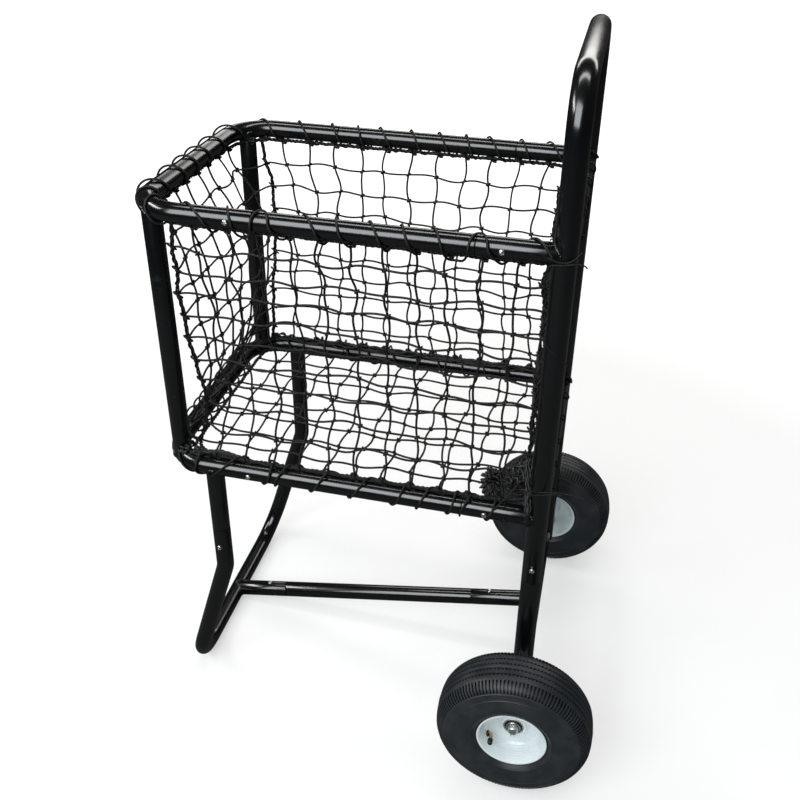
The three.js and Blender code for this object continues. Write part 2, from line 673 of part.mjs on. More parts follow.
function splitPin() {
  const eye = PIN_DROP * PIN_EYE_SHARE;
  const above = AXLE_RADIUS + GAP;
  const side = [
    vec(PIN_SPREAD, 0, above),
    vec(PIN_SPREAD, 0, -above),
    vec(PIN_SPREAD * PIN_SPLAY_SHARE, 0, -PIN_DROP),
  ];
  const bow = [vec(eye, 0, above + eye), vec(eye / 2, 0, above + eye * 2)];
  const half = [...side.reverse(), ...bow];
  const other = half.map((point) => vec(-point.x, 0, point.z)).reverse();
  const points = [...half, ...other];
  return swept(smoothPath(points), PIN_WIRE_DIAMETER / 2, 0, WIRE_SIDES);
}

// A path through given points, its direction at each one the mean of the runs beside it
function smoothPath(points) {
  const tangents = points.map((point, i) => {
    const before = points[Math.max(0, i - 1)];
    const after = points[Math.min(points.length - 1, i + 1)];
    return after.clone().sub(before).normalize();
  });
  return new StepPath(points, tangents);
}

function addWheel(name, y, turn) {
  const wheel = new THREE.Group();
  wheel.position.set(BASKET_LENGTH, y, AXLE_HEIGHT);
  wheel.rotation.z = turn;
  cart.add(wheel);
  const outerBearing = HUB_OUTER_REACH - GAP;
  const innerBearing = BEARING_WIDTH - HUB_INNER_REACH;
  const radius = BEARING_DIAMETER / 2;
  place(`${name}_tyre`, welded(turned(tyreRows(), WHEEL_SEGMENTS)), TYRE_RUBBER, 0, 0, 0, wheel);
  place(`${name}_inner_tube`, innerTube(), TUBE_RUBBER, 0, 0, 0, wheel);
  place(`${name}_rim`, rim(), WHITE_PAINT, 0, 0, 0, wheel);
  const bearings = [
    ["outer", HUB_OUTER_REACH - BEARING_WIDTH, outerBearing],
    ["inner", GAP - HUB_INNER_REACH, innerBearing],
  ];
  for (const [end, low, high] of bearings) {
    const shape = welded(ring(AXLE_BORE_RADIUS, radius, low, high));
    place(`${name}_bearing_${end}`, shape, BEARING_STEEL, 0, 0, 0, wheel);
  }
  const cap = valvePoint(VALVE_RADIUS, 0);
  place(`${name}_valve_cap`, welded(valveCap()), CAP_PLASTIC, cap.x, cap.y, cap.z, wheel);
  const low = HUB_OUTER_REACH + GAP;
  const washer = welded(ring(AXLE_BORE_RADIUS, WASHER_DIAMETER / 2, low, low + WASHER_THICKNESS));
  place(`${name}_washer`, washer, BRIGHT_STEEL, 0, 0, 0, wheel);
  place(`${name}_split_pin`, welded(splitPin()), BRIGHT_STEEL, 0, PIN_PLANE, 0, wheel);
}

// Slip joint screw: a round head outside the tube, its shank through both walls
const HEAD_BROW_SHARE = 0.7;

function screwShape(radius) {
  const seat = radius * FACET + GAP;
  const end = radius - SCREW_SHANK_LENGTH;
  const head = SCREW_HEAD_DIAMETER / 2;
  const rows = [
    [0, end],
    [SCREW_SHANK_RADIUS, end],
    [SCREW_SHANK_RADIUS, seat],
    [head, seat],
    [head * HEAD_BROW_SHARE, seat + SCREW_HEAD_HEIGHT * HEAD_BROW_SHARE],
    [0, seat + SCREW_HEAD_HEIGHT],
  ];
  return welded(turned(rows, HEAD_SIDES));
}
function addScrew(name, radius, point, turn) {
  const screw = place(name, screwShape(radius), BRIGHT_STEEL);
  screw.position.copy(point);
  screw.rotation.x = turn;
  return screw;
}

function addScrews() {
  const standHeight = STAND_SEAM_HEIGHT - SCREW_SETBACK;
  for (const [side, y, turn] of [["near", 0, Math.PI], ["far", BASKET_WIDTH, 0]]) {
    for (const [level, z] of LEVELS) {
      const front = vec(FRONT_SEAM - SCREW_SETBACK, y, z);
      const rear = vec(REAR_SEAM + SCREW_SETBACK - GAP, y, z);
      addScrew(`screw_front_${level}_${side}`, TUBE_RADIUS, front, turn);
      addScrew(`screw_rear_${level}_${side}`, TUBE_RADIUS, rear, turn);
    }
    const handle = vec(BASKET_LENGTH, y, HANDLE_SCREW_HEIGHT);
    addScrew(`screw_handle_${side}`, HANDLE_RADIUS, handle, turn);
    const stand = vec(STAND_SETBACK, y, standHeight);
    addScrew(`screw_stand_${side}`, TUBE_RADIUS / FACET, stand, turn);
  }
  const places = [
    ["front", BRACE_FRONT_SEAM - SCREW_SETBACK],
    ["rear", BRACE_LENGTH - BRACE_REAR_SEAM + SCREW_SETBACK],
  ];
  for (const [end, distance] of places) {
    const screw = addScrew(`screw_brace_${end}`, TUBE_RADIUS, alongBrace(distance), 0);
    screw.rotation.set(Math.PI / 2, -BRACE_ANGLE, 0, "YXZ");
  }
}

// Net: where the four corner ropes hang, from the top at 0 to the bottom at 1
const FRONT_CORNER = POST_INSET + (TUBE_RADIUS + NET_STANDOFF) * Math.SQRT1_2;
const REAR_CORNER = HANDLE_RADIUS + REAR_STANDOFF;
const REAR_CORNER_IN = HANDLE_RADIUS + REAR_STANDOFF / 2;
const bow = (share) => Math.sin(Math.PI * share);
const BOW_ACROSS_SHARE = 0.6;
const REAR_BOW_SHARE = 0.3;
const END_POWER = 12;

const lengthStation = (i) => {
  const reach = BASKET_LENGTH - REAR_CORNER - FRONT_CORNER;
  return FRONT_CORNER + (reach * i) / CELLS_ALONG;
};
const widthStation = (j) => FRONT_CORNER + ((BASKET_WIDTH - 2 * FRONT_CORNER) * j) / CELLS_ACROSS;
const netTop = TOP_RAIL_HEIGHT - BORDER_DROP;
const netBottom = BOTTOM_RAIL_HEIGHT + BORDER_DROP;
const netHeight = (share) => netTop + (netBottom - netTop) * share;

// How near a share is to either end of a panel, 0 in the middle and 1 at the ends
const endness = (share) => Math.abs(2 * share - 1) ** END_POWER;

// Near and far panels: their ends are drawn in to the corner ropes
function sidePanel(u, v, inwards, line) {
  const atFront = u < 0.5;
  const end = endness(u);
  const drawn = bow(v) * NET_BOW * (1 - u - u * REAR_BOW_SHARE);
  const corner = (atFront ? FRONT_CORNER : REAR_CORNER_IN) - TWINE_DIAMETER;
  const sag = NET_SAG * bow(v) * bow(u);
  const pull = NET_BOW * BOW_ACROSS_SHARE * bow(v) * end;
  const x = lengthStation(u * CELLS_ALONG) + (drawn + TWINE_DIAMETER * (atFront ? 1 : -1)) * end;
  return vec(x, line + inwards * (corner * end + sag + pull), netHeight(v));
}

// Front and rear panels
function endPanel(u, v, front) {
  const rearEdge = REAR_CORNER_IN + TWINE_DIAMETER;
  const frontEdge = FRONT_CORNER + TWINE_DIAMETER;
  const shift = (front ? frontEdge : rearEdge) - FRONT_CORNER;
  const pull = bow(v) * NET_BOW * (front ? BOW_ACROSS_SHARE : REAR_BOW_SHARE);
  const drawn = (shift + pull) * endness(u) * (u < 0.5 ? 1 : -1);
  const y = widthStation(u * CELLS_ACROSS) + drawn;
  const sag = NET_SAG * bow(v) * bow(u);
  const bowed = NET_BOW * bow(v) * endness(u) * (front ? 1 : REAR_BOW_SHARE);
  const ends = (front ? FRONT_CORNER : REAR_CORNER) - TWINE_DIAMETER;
  const depth = ends * endness(u) + sag + bowed;
  return vec(front ? depth : BASKET_LENGTH - depth, y, netHeight(v));
}

// Floor panel: its border runs inside the bottom rails and rounds the front corners
function floorPanel(u, v) {
  const border = BORDER_DROP;
  let x = lengthStation(u * CELLS_ALONG);
  let y = widthStation(v * CELLS_ACROSS);
  if (u === 0) x = border;
  if (u === 1) x = BASKET_LENGTH - border;
  if (v === 0) y = border;
  if (v === 1) y = BASKET_WIDTH - border;
  if (u === 0 && (v === 0 || v === 1)) {
    x = FRONT_CORNER;
    y = v === 0 ? FRONT_CORNER : BASKET_WIDTH - FRONT_CORNER;
  }
  return vec(x, y, BOTTOM_RAIL_HEIGHT - NET_SAG * bow(u) * bow(v));
}

// One net panel: strands of three-sided section, knotted at a grid of points
const KNOT_POINTS = 5;

function netGeometry(columns, rows, point) {
  const grid = [];
  for (let i = 0; i <= columns; i++) {
    for (let j = 0; j <= rows; j++) grid.push(point(i / columns, j / rows));
  }
  const node = (i, j) => i * (rows + 1) + j;
  const vertices = [];
  for (let i = 0; i <= columns; i++) {
    for (let j = 0; j <= rows; j++) vertices.push(...knot(grid, node, i, j, columns, rows));
  }
  const faces = netFaces(columns, rows, (i, j, k) => node(i, j) * KNOT_POINTS + k);
  const geometry = new THREE.BufferGeometry();
  geometry.setAttribute("position", new THREE.Float32BufferAttribute(vertices, 3));
  geometry.setIndex(faces);
  return welded(geometry);
}

// The five points of one knot: four at its foot and one on its ridge
function knot(grid, node, i, j, columns, rows) {
  const at = grid[node(i, j)];
  const along = grid[node(Math.min(i + 1, columns), j)].clone().sub(grid[node(Math.max(i - 1, 0), j)]);
  const down = grid[node(i, Math.min(j + 1, rows))].clone().sub(grid[node(i, Math.max(j - 1, 0))]);
  along.normalize();
  const up = along.clone().cross(down).normalize();
  const across = up.clone().cross(along);
  const out = [];
  for (const [a, b] of [[-1, -1], [1, -1], [1, 1], [-1, 1]]) {
    const foot = at.clone().addScaledVector(along, a * TWINE_RADIUS);
    foot.addScaledVector(across, b * TWINE_RADIUS).addScaledVector(up, -TWINE_RADIUS);
    out.push(foot.x, foot.y, foot.z);
  }
  const ridge = at.clone().addScaledVector(up, TWINE_RADIUS);
  out.push(ridge.x, ridge.y, ridge.z);
  return out;
}

// The faces of a net panel: knots, strands along, strands down, and the closed edges
function netFaces(columns, rows, at) {
  const faces = [];
  for (let i = 0; i <= columns; i++) {
    for (let j = 0; j <= rows; j++) {
      const [a, b, c, d, top] = [0, 1, 2, 3, 4].map((k) => at(i, j, k));
      faces.push(a, d, c, a, c, b);
      if (i === 0) faces.push(d, a, top);
      if (i === columns) faces.push(b, c, top);
      if (j === 0) faces.push(a, b, top);
      if (j === rows) faces.push(c, d, top);
      if (i < columns) {
        const [e, g, next] = [0, 3, 4].map((k) => at(i + 1, j, k));
        faces.push(b, c, g, b, g, e);
        faces.push(b, e, next, b, next, top);
        faces.push(g, c, top, g, top, next);
      }
      if (j < rows) {
        const [e, f, next] = [0, 1, 4].map((k) => at(i, j + 1, k));
        faces.push(d, e, f, d, f, c);
        faces.push(c, f, next, c, next, top);
        faces.push(e, d, top, e, top, next);
      }
    }
  }
  return faces;
}

function addNet() {
  const near = netGeometry(CELLS_ALONG, CELLS_DOWN, (u, v) => sidePanel(u, v, 1, 0));
  const far = netGeometry(CELLS_ALONG, CELLS_DOWN, (u, v) => sidePanel(u, v, -1, BASKET_WIDTH));
  const front = netGeometry(CELLS_ACROSS, CELLS_DOWN, (u, v) => endPanel(u, v, true));
  const rear = netGeometry(CELLS_ACROSS, CELLS_DOWN, (u, v) => endPanel(u, v, false));
  const floor = netGeometry(CELLS_ALONG, CELLS_ACROSS, floorPanel);
  place("net_panel_near", near, BLACK_TWINE);
  place("net_panel_far", far, BLACK_TWINE);
  place("net_panel_front", front, BLACK_TWINE);
  place("net_panel_rear", rear, BLACK_TWINE);
  place("net_panel_floor", floor, BLACK_TWINE);
}

// The ring of rails as one route from the near rear corner round the front to the rear crossbar
const BEND_RUN = (Math.PI / 2) * HOOP_BEND_RADIUS;
const NEAR_RUN = BASKET_LENGTH - HOOP_BEND_RADIUS;
const FRONT_START = NEAR_RUN + BEND_RUN;
const FRONT_RUN = BASKET_WIDTH - 2 * HOOP_BEND_RADIUS;
const FAR_START = FRONT_START + FRONT_RUN + BEND_RUN;
const REAR_START = FAR_START + NEAR_RUN;
const nearAt = (x) => BASKET_LENGTH - x;
const frontAt = (y) => FRONT_START + y - HOOP_BEND_RADIUS;
const farAt = (x) => FAR_START + x - HOOP_BEND_RADIUS;
const rearAt = (y) => REAR_START + BASKET_WIDTH - y;
const NEAR_POST = NEAR_RUN + BEND_RUN / 2;
const FAR_POST = FAR_START - BEND_RUN / 2;

// The rail's centre line and its outward direction at a distance along the route
function railPoint(distance) {
  const r = HOOP_BEND_RADIUS;
  if (distance <= NEAR_RUN) return [vec(BASKET_LENGTH - distance, 0, 0), vec(0, -1, 0)];
  if (distance < FRONT_START) return bendPoint((distance - NEAR_RUN) / r, r, r, -1);
  if (distance <= FRONT_START + FRONT_RUN) {
    return [vec(0, distance - FRONT_START + r, 0), vec(-1, 0, 0)];
  }
  if (distance < FAR_START) {
    const angle = (FAR_START - distance) / r;
    return bendPoint(angle, r, BASKET_WIDTH - r, 1);
  }
  if (distance < REAR_START) return [vec(distance - FAR_START + r, BASKET_WIDTH, 0), vec(0, 1, 0)];
  if (distance === REAR_START) return [vec(BASKET_LENGTH, BASKET_WIDTH, 0), vec(1, 1, 0)];
  return [vec(BASKET_LENGTH, BASKET_WIDTH + REAR_START - distance, 0), vec(1, 0, 0)];
}

function bendPoint(angle, x, y, side) {
  const outwards = vec(-Math.sin(angle), side * Math.cos(angle), 0);
  return [vec(x, y, 0).addScaledVector(outwards, HOOP_BEND_RADIUS), outwards];
}

// A lacing cord: turns round the rail between its anchors, each a distance and a count of turns
// A whole count is on top of the rail, a quarter outside, a half below, three quarters inside.
function lacingPoints(anchors, radius, inwards, upwards) {
  const points = [];
  for (let i = 0; i < anchors.length - 1; i++) {
    const [from, fromTurn] = anchors[i];
    const [to, toTurn] = anchors[i + 1];
    const turnSteps = Math.round((toTurn - fromTurn) * LACING_STEPS);
    const steps = Math.max(1, turnSteps, Math.round((to - from) / LACING_RUN));
    for (let k = i ? 1 : 0; k <= steps; k++) {
      const share = k / steps;
      const distance = k === steps ? to : from + (to - from) * share;
      const angle = 2 * Math.PI * (fromTurn + (toTurn - fromTurn) * share);
      const [centre, outwards] = railPoint(distance);
      const point = centre.addScaledVector(outwards, radius * Math.sin(angle) - inwards);
      points.push(point.add(vec(0, 0, radius * Math.cos(angle) + upwards)));
    }
  }
  return points;
}

// Least gap between runs of one cord that do not follow each other
function leastGap(points) {
  let least = Infinity;
  const apart = LACING_STEPS / 2;
  for (let i = 0; i < points.length - 1; i++) {
    const run = new THREE.Line3(points[i], points[i + 1]);
    for (let j = i + apart; j < points.length - 1; j++) {
      const other = new THREE.Line3(points[j], points[j + 1]);
      for (let k = 0; k <= LACING_STEPS; k++) {
        const on = other.at(k / LACING_STEPS, vec(0, 0, 0));
        const near = run.closestPointToPoint(on, true, vec(0, 0, 0));
        least = Math.min(least, near.distanceTo(on));
      }
    }
  }
  return least - LACING_DIAMETER;
}

const lengthMiddle = (i) => (lengthStation(i) + lengthStation(i + 1)) / 2;
const widthMiddle = (j) => (widthStation(j) + widthStation(j + 1)) / 2;
const REAR_PASS = REAR_CORNER;

// Top lacing: it dips under the net's border in the middle of each cell but the last ones
function topAnchors() {
  const anchors = [[nearAt(BASKET_LENGTH - REAR_PASS), 1]];
  let turn = 1.5;
  for (let i = CELLS_ALONG - 2; i > 0; i--) anchors.push([nearAt(lengthMiddle(i)), turn++]);
  anchors.push([NEAR_POST, turn - 0.5]);
  for (let j = 1; j < CELLS_ACROSS - 1; j++) anchors.push([frontAt(widthMiddle(j)), turn++]);
  anchors.push([FAR_POST, turn - 0.5]);
  for (let i = 1; i < CELLS_ALONG - 1; i++) anchors.push([farAt(lengthMiddle(i)), turn++]);
  anchors.push(...rearPass(turn - 0.75));
  for (let j = CELLS_ACROSS - 2; j > 0; j--) anchors.push([rearAt(widthMiddle(j)), turn++]);
  anchors.push([rearAt(REAR_PASS + REAR_STANDOFF), turn - 0.75]);
  return anchors;
}

// Bottom lacing: it rises over the net's border in the middle of each cell but the last ones
function bottomAnchors() {
  const anchors = [[nearAt(BASKET_LENGTH - REAR_PASS), 0.75]];
  let turn = 1;
  for (let i = CELLS_ALONG - 2; i > 0; i--) anchors.push([nearAt(lengthMiddle(i)), turn++]);
  anchors.push([NEAR_POST, turn - 0.5]);
  for (let j = 1; j < CELLS_ACROSS - 1; j++) anchors.push([frontAt(widthMiddle(j)), turn++]);
  anchors.push([FAR_POST, turn - 0.5]);
  for (let i = 1; i < CELLS_ALONG - 1; i++) anchors.push([farAt(lengthMiddle(i)), turn++]);
  anchors.push(...rearPass(turn - 0.25));
  for (let j = CELLS_ACROSS - 2; j > 0; j--) anchors.push([rearAt(widthMiddle(j)), turn++]);
  anchors.push([rearAt(REAR_PASS + REAR_STANDOFF), turn - 0.5]);
  return anchors;
}

// The pass round the inside of the far handle post
function rearPass(turn) {
  return [
    [farAt(BASKET_LENGTH - REAR_PASS), turn],
    [REAR_START, turn],
    [rearAt(BASKET_WIDTH - REAR_PASS), turn],
  ];
}

function addLacing(name, points, height) {
  const cord = swept(smoothPath(points), LACING_DIAMETER / 2, 0, LACING_SIDES);
  place(name, welded(cord), BLACK_TWINE, 0, 0, height);
  const length = points.slice(1).reduce((sum, point, i) => sum + point.distanceTo(points[i]), 0);
  console.log(name, "least gap to itself", leastGap(points).toFixed(1), "length", length.toFixed(0));
}

// Surplus net: gathered and tied into a pleated bundle in the near rear corner of the floor
const BUNDLE_SHARES = [
  [0, 0.25],
  [0.08, 0.8],
  [0.24, 1],
  [0.4, 0.8],
  [0.5, 0.38],
  [0.62, 0.62],
  [0.8, 0.72],
  [0.94, 0.5],
  [1, 0.2],
];
const BUNDLE_PLEATS = 6;
const PLEAT_SHARE = 0.14;
const BUNDLE_PLACE_SHARES = [0.8264, 0.125, 0.029];
const BUNDLE_RISE = 0.62;

function bundleGeometry() {
  const sides = BUNDLE_PLEATS * 2;
  const vertices = [0, 0, 0];
  for (const [lengthShare, radiusShare] of BUNDLE_SHARES) {
    for (let k = 0; k < sides; k++) {
      const pleat = 1 + (k % 2 ? PLEAT_SHARE : -PLEAT_SHARE);
      const angle = (2 * Math.PI * k) / sides;
      const radius = BUNDLE_RADIUS * radiusShare * pleat;
      vertices.push(lengthShare * BUNDLE_LENGTH, radius * Math.cos(angle), radius * Math.sin(angle));
    }
  }
  vertices.push(BUNDLE_LENGTH, 0, 0);
  const last = BUNDLE_SHARES.length * sides + 1;
  const faces = [];
  for (let k = 0; k < sides; k++) {
    const next = (k + 1) % sides;
    faces.push(0, 1 + next, 1 + k, last, last - sides + k, last - sides + next);
    for (let i = 0; i < BUNDLE_SHARES.length - 1; i++) {
      const a = 1 + i * sides;
      faces.push(a + k, a + next, a + sides + next, a + k, a + sides + next, a + sides + k);
    }
  }
  const geometry = new THREE.BufferGeometry();
  geometry.setAttribute("position", new THREE.Float32BufferAttribute(vertices, 3));
  geometry.setIndex(faces);
  return welded(geometry);
}

function addBundle() {
  const [xShare, yShare, zShare] = BUNDLE_PLACE_SHARES;
  const height = BOTTOM_RAIL_HEIGHT + (TOP_RAIL_HEIGHT - BOTTOM_RAIL_HEIGHT) * zShare;
  const bundle = place("surplus_net_bundle", bundleGeometry(), BLACK_TWINE);
  bundle.position.set(BASKET_LENGTH * xShare, BASKET_WIDTH * yShare, height);
  bundle.rotation.y = -BUNDLE_RISE;
}

addHandle();
addCrossbars();
addRailSockets();
addHoops();
addEndPosts();
addSideRails();
addStand();
addBrace();
addLegs();
addAxleSleeve();
addAxle();
addWheel("near_wheel", -WHEEL_OFFSET, Math.PI);
addWheel("far_wheel", BASKET_WIDTH + WHEEL_OFFSET, 0);
addScrews();
addNet();
const topLacing = lacingPoints(topAnchors(), LACING_RADIUS, 0, -LACING_OFFSET);
const floorLacing = lacingPoints(bottomAnchors(), FLOOR_LACING_RADIUS, LACING_OFFSET, LACING_OFFSET);
addLacing("net_lacing_top", topLacing, TOP_RAIL_HEIGHT);
addLacing("net_lacing_bottom", floorLacing, BOTTOM_RAIL_HEIGHT);
addBundle();

// Move the cart so that the origin is under the middle of its box
cart.updateMatrixWorld(true);
const box = new THREE.Box3().setFromObject(cart, true);
const middle = box.getCenter(new THREE.Vector3());
cart.position.set(-middle.x, -middle.y, -box.min.z);
const part = new THREE.Group();
part.add(cart);

export default part;
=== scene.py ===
import math
import random

import bpy
import numpy as np
from mathutils import Euler, Matrix, Vector


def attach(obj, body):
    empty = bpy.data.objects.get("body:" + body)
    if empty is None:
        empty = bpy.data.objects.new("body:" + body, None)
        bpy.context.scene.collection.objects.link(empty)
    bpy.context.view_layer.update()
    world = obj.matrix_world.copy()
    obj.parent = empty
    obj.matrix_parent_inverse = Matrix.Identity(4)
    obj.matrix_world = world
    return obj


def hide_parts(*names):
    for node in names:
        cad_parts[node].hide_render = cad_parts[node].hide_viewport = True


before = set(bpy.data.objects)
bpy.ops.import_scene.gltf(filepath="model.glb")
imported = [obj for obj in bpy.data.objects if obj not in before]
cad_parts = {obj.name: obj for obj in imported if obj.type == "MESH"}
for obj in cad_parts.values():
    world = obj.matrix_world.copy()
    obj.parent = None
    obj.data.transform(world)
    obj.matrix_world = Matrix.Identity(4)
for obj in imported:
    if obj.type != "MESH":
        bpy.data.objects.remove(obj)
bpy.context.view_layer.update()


# Camera
# It stands off the near side, higher than the handle, and looks down over the basket. Its lens,
# tilt and slight roll give the view of the cart that the frame's corners settle.
VIEW_PLACE = Vector((0.30578, -1.33982, 1.45396))
VIEW_YAW = math.radians(-12.476)
VIEW_PITCH = math.radians(29.946)
VIEW_ROLL = math.radians(1.0255)
VIEW_LENS = 41.886
VIEW_SHIFT = (-0.01718, -0.06997)

camera_data = bpy.data.cameras.new("camera")
camera_data.lens = VIEW_LENS
camera_data.shift_x, camera_data.shift_y = VIEW_SHIFT
camera = bpy.data.objects.new("camera", camera_data)
bpy.context.scene.collection.objects.link(camera)
aim = Euler((math.pi / 2 - VIEW_PITCH, 0, -VIEW_YAW)).to_matrix().to_4x4()
camera.matrix_world = Matrix.Translation(VIEW_PLACE) @ aim @ Matrix.Rotation(VIEW_ROLL, 4, "Z")
bpy.context.scene.camera = camera


# Shader values
# Every finish below is written with these: a value from a node takes part in plain arithmetic,
# and one method makes any other node.
class Shade:
    """One value among a finish's nodes."""

    def __init__(self, tree, socket):
        self.tree = tree
        self.socket = socket

    def node(self, kind, settings, inputs, output=0):
        """A new node: its settings are set first, then the values or links of its sockets."""
        new = self.tree.nodes.new(kind)
        for name, value in settings.items():
            setattr(new, name, value)
        for name, value in inputs.items():
            if isinstance(value, Shade):
                self.tree.links.new(value.socket, new.inputs[name])
            else:
                new.inputs[name].default_value = value
        return Shade(self.tree, new.outputs[output])

    def math(self, operation, *values):
        inputs = dict(enumerate((self, *values)))
        return self.node("ShaderNodeMath", {"operation": operation}, inputs)

    def __add__(self, other):
        return self.math("ADD", other)

    def __mul__(self, other):
        return self.math("MULTIPLY", other)

    def axis(self, number):
        """One of the three parts of a place: 0, 1 or 2."""
        return self.node("ShaderNodeSeparateXYZ", {}, {"Vector": self}, number)

    def noise(self, scale, detail=3, roughness=0.5):
        """Noise of this many waves to the metre, read at this place."""
        values = {"Vector": self, "Scale": scale, "Detail": detail, "Roughness": roughness}
        return self.node("ShaderNodeTexNoise", {}, values)

    def between(self, low, high):
        """0 under the low value, 1 over the high one, and even between them."""
        values = {"Value": self, "From Min": low, "From Max": high}
        return self.node("ShaderNodeMapRange", {"clamp": True}, values)

    def blend(self, first, second):
        """The first colour at 0 and the second at 1."""
        colors = [c if isinstance(c, Shade) else (*c, 1) for c in (first, second)]
        values = {0: self, 6: colors[0], 7: colors[1]}
        return self.node("ShaderNodeMix", {"data_type": "RGBA"}, values, 2)

    def bump(self, strength, distance):
        """A normal raised by this value."""
        values = {"Height": self, "Strength": strength, "Distance": distance}
        return self.node("ShaderNodeBump", {}, values)


class Finish:
    """A new material, with the place on the piece and its map as shader values."""

    def __init__(self, name):
        self.material = bpy.data.materials.new(name)
        self.material.use_nodes = True
        self.tree = self.material.node_tree
        self.shader = next(n for n in self.tree.nodes if n.type == "BSDF_PRINCIPLED")
        where = self.tree.nodes.new("ShaderNodeTexCoord")
        self.place = Shade(self.tree, where.outputs["Object"])
        self.map = Shade(self.tree, where.outputs["UV"])

    def set(self, **values):
        """Set the shader's sockets: a Shade is linked and a constant is put on the socket."""
        for name, value in values.items():
            socket = self.shader.inputs[name.replace("_", " ")]
            if isinstance(value, Shade):
                self.tree.links.new(value.socket, socket)
            else:
                socket.default_value = (*value, 1) if isinstance(value, tuple) else value
        return self.material


# Floor and light
# A plain pale floor keeps the cart's shadow. A broad window light stands behind the camera, with a
# strip overhead, one high on the left and a long one behind the cart, in a dim white room.
FLOOR_SIZE = 40
FLOOR_DROP = 0.0005
FLOOR_GREY = 0.5
FLOOR_IN_TUBES = 0.07
FLOOR_GLOW = 0.47
SPECKLE_GLOW = 0.004
FAR_GLOW = 0.6
FAR_FLOOR = (1.2, 3.2)
ROOM_LIGHT = 0.4
ROOM_IN_TUBES = 0.035
LAMPS_AIM = Vector((0, 0, 0.6))
LAMPS = [
    ("window_light", (-0.65, -2.25, 2.2), (2.4, 1.8), 70, (0.92, 0.97, 1.0)),
    ("ceiling_light", (0.0, 0.3, 3.4), (3.0, 0.4), 24, (1.0, 0.99, 0.97)),
    ("left_light", (-2.7, -0.6, 2.4), (1.8, 0.4), 30, (1.0, 0.98, 0.95)),
    ("back_light", (0.2, 3.2, 2.3), (4.4, 0.9), 40, (1.0, 0.99, 0.95)),
]


def ray_kinds(tree):
    """Whether the camera sees a place straight, and whether a tube mirrors it."""
    path = tree.nodes.new("ShaderNodeLightPath")
    return [Shade(tree, path.outputs[name]) for name in ("Is Camera Ray", "Is Glossy Ray")]


bpy.ops.object.select_all(action="DESELECT")
bpy.ops.mesh.primitive_plane_add(size=FLOOR_SIZE, location=(0, 0, -FLOOR_DROP))
floor = bpy.context.object
floor.name = "floor"
floor_finish = Finish("pale floor")
seen, mirrored = ray_kinds(floor_finish.tree)
place = floor_finish.place
speckle = place.noise(60).between(0.3, 0.7)
distance = place.node("ShaderNodeVectorMath", {"operation": "LENGTH"}, {0: place}, 1)
glow = seen * (distance.between(*FAR_FLOOR) * FAR_GLOW + FLOOR_GLOW + speckle * SPECKLE_GLOW)
floor.data.materials.append(floor_finish.set(
    Base_Color=mirrored.blend((FLOOR_GREY,) * 3, (FLOOR_IN_TUBES,) * 3),
    Roughness=0.9,
    Specular_IOR_Level=0.1,
    Emission_Color=glow.blend((0.0, 0.0, 0.0), (1.0, 1.0, 1.0)),
    Emission_Strength=1.0,
))

for name, place, size, power, color in LAMPS:
    lamp_data = bpy.data.lights.new(name, "AREA")
    lamp_data.shape = "RECTANGLE"
    lamp_data.size, lamp_data.size_y = size
    lamp_data.energy = power
    lamp_data.color = color
    lamp = bpy.data.objects.new(name, lamp_data)
    bpy.context.scene.collection.objects.link(lamp)
    lamp.location = place
    lamp.rotation_euler = (LAMPS_AIM - Vector(place)).to_track_quat("-Z", "Y").to_euler()

room = bpy.data.worlds.new("dim room")
room.use_nodes = True
bpy.context.scene.world = room
backdrop = room.node_tree.nodes["Background"]
seen, mirrored = ray_kinds(room.node_tree)
strength = seen * (1 - ROOM_LIGHT) + mirrored * (ROOM_IN_TUBES - ROOM_LIGHT) + ROOM_LIGHT
room.node_tree.links.new(strength.socket, backdrop.inputs["Strength"])
backdrop.inputs["Color"].default_value = (1, 1, 1, 1)
bpy.context.scene.view_settings.view_transform = "Standard"


# Handle frame
# One steel tube of 33 mm, 1.5 mm thick, bent to a U that stands at the rear of the basket. It is
# sprayed gloss black, and the two wheel legs slide up into its open ends.
BASKET_LENGTH = 622
BASKET_WIDTH = 414
HANDLE_HEIGHT = 1174
HANDLE_BEND_RADIUS = 68
HANDLE_SEAM_HEIGHT = 379
HANDLE_RADIUS = 16.5
TUBE_WALL = 1.5
TUBE_SIDES = 40
TUBE_RIM = 0.3
BEND_STEP = math.radians(7.5)
CART_SHIFT = Vector((-364.986, -207, 0))
PAINT_BLACK = (0.0012, 0.0016, 0.0020)
PAINT_WORN = (0.018, 0.019, 0.020)


def cart(x, y, z):
    """A place on the cart, laid out in millimetres from the near front corner, in the row frame."""
    return (Vector((x, y, z)) + CART_SHIFT) / 1000


def black_paint():
    """Gloss black powder coat: a faint orange peel, soft cloudy dulling and a few pale rubs."""
    finish = Finish("black powder coat")
    cloud = finish.place.noise(14, 4).between(0.35, 0.75)
    peel = finish.place.noise(650, 2)
    rub = (finish.place.noise(38, 6, 0.7) * finish.place.noise(9, 2)).between(0.36, 0.44)
    return finish.set(
        Base_Color=(rub * 0.5).blend(PAINT_BLACK, PAINT_WORN),
        Roughness=cloud * 0.07 + rub * 0.15 + 0.16,
        Specular_IOR_Level=0.95,
        Normal=peel.bump(0.05, 0.0004),
    )


PAINT = black_paint()


def dressed(piece, name, nodes, material, slot, body="frame"):
    """Name a piece, give it its finish and put it on a body of the cart."""
    piece.name = piece.data.name = name
    piece.data.materials.clear()
    piece.data.materials.append(material)
    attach(piece, body)
    if nodes:
        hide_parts(*nodes)
    return piece


def finished(piece, name, *nodes, material=PAINT, slot="black_paint"):
    """Put a modelled piece's place into its mesh, then dress it: a painted tube, unless told."""
    bpy.ops.object.mode_set(mode="OBJECT")
    bpy.ops.object.transform_apply(location=True, rotation=True, scale=True)
    return dressed(piece, name, nodes, material, slot)


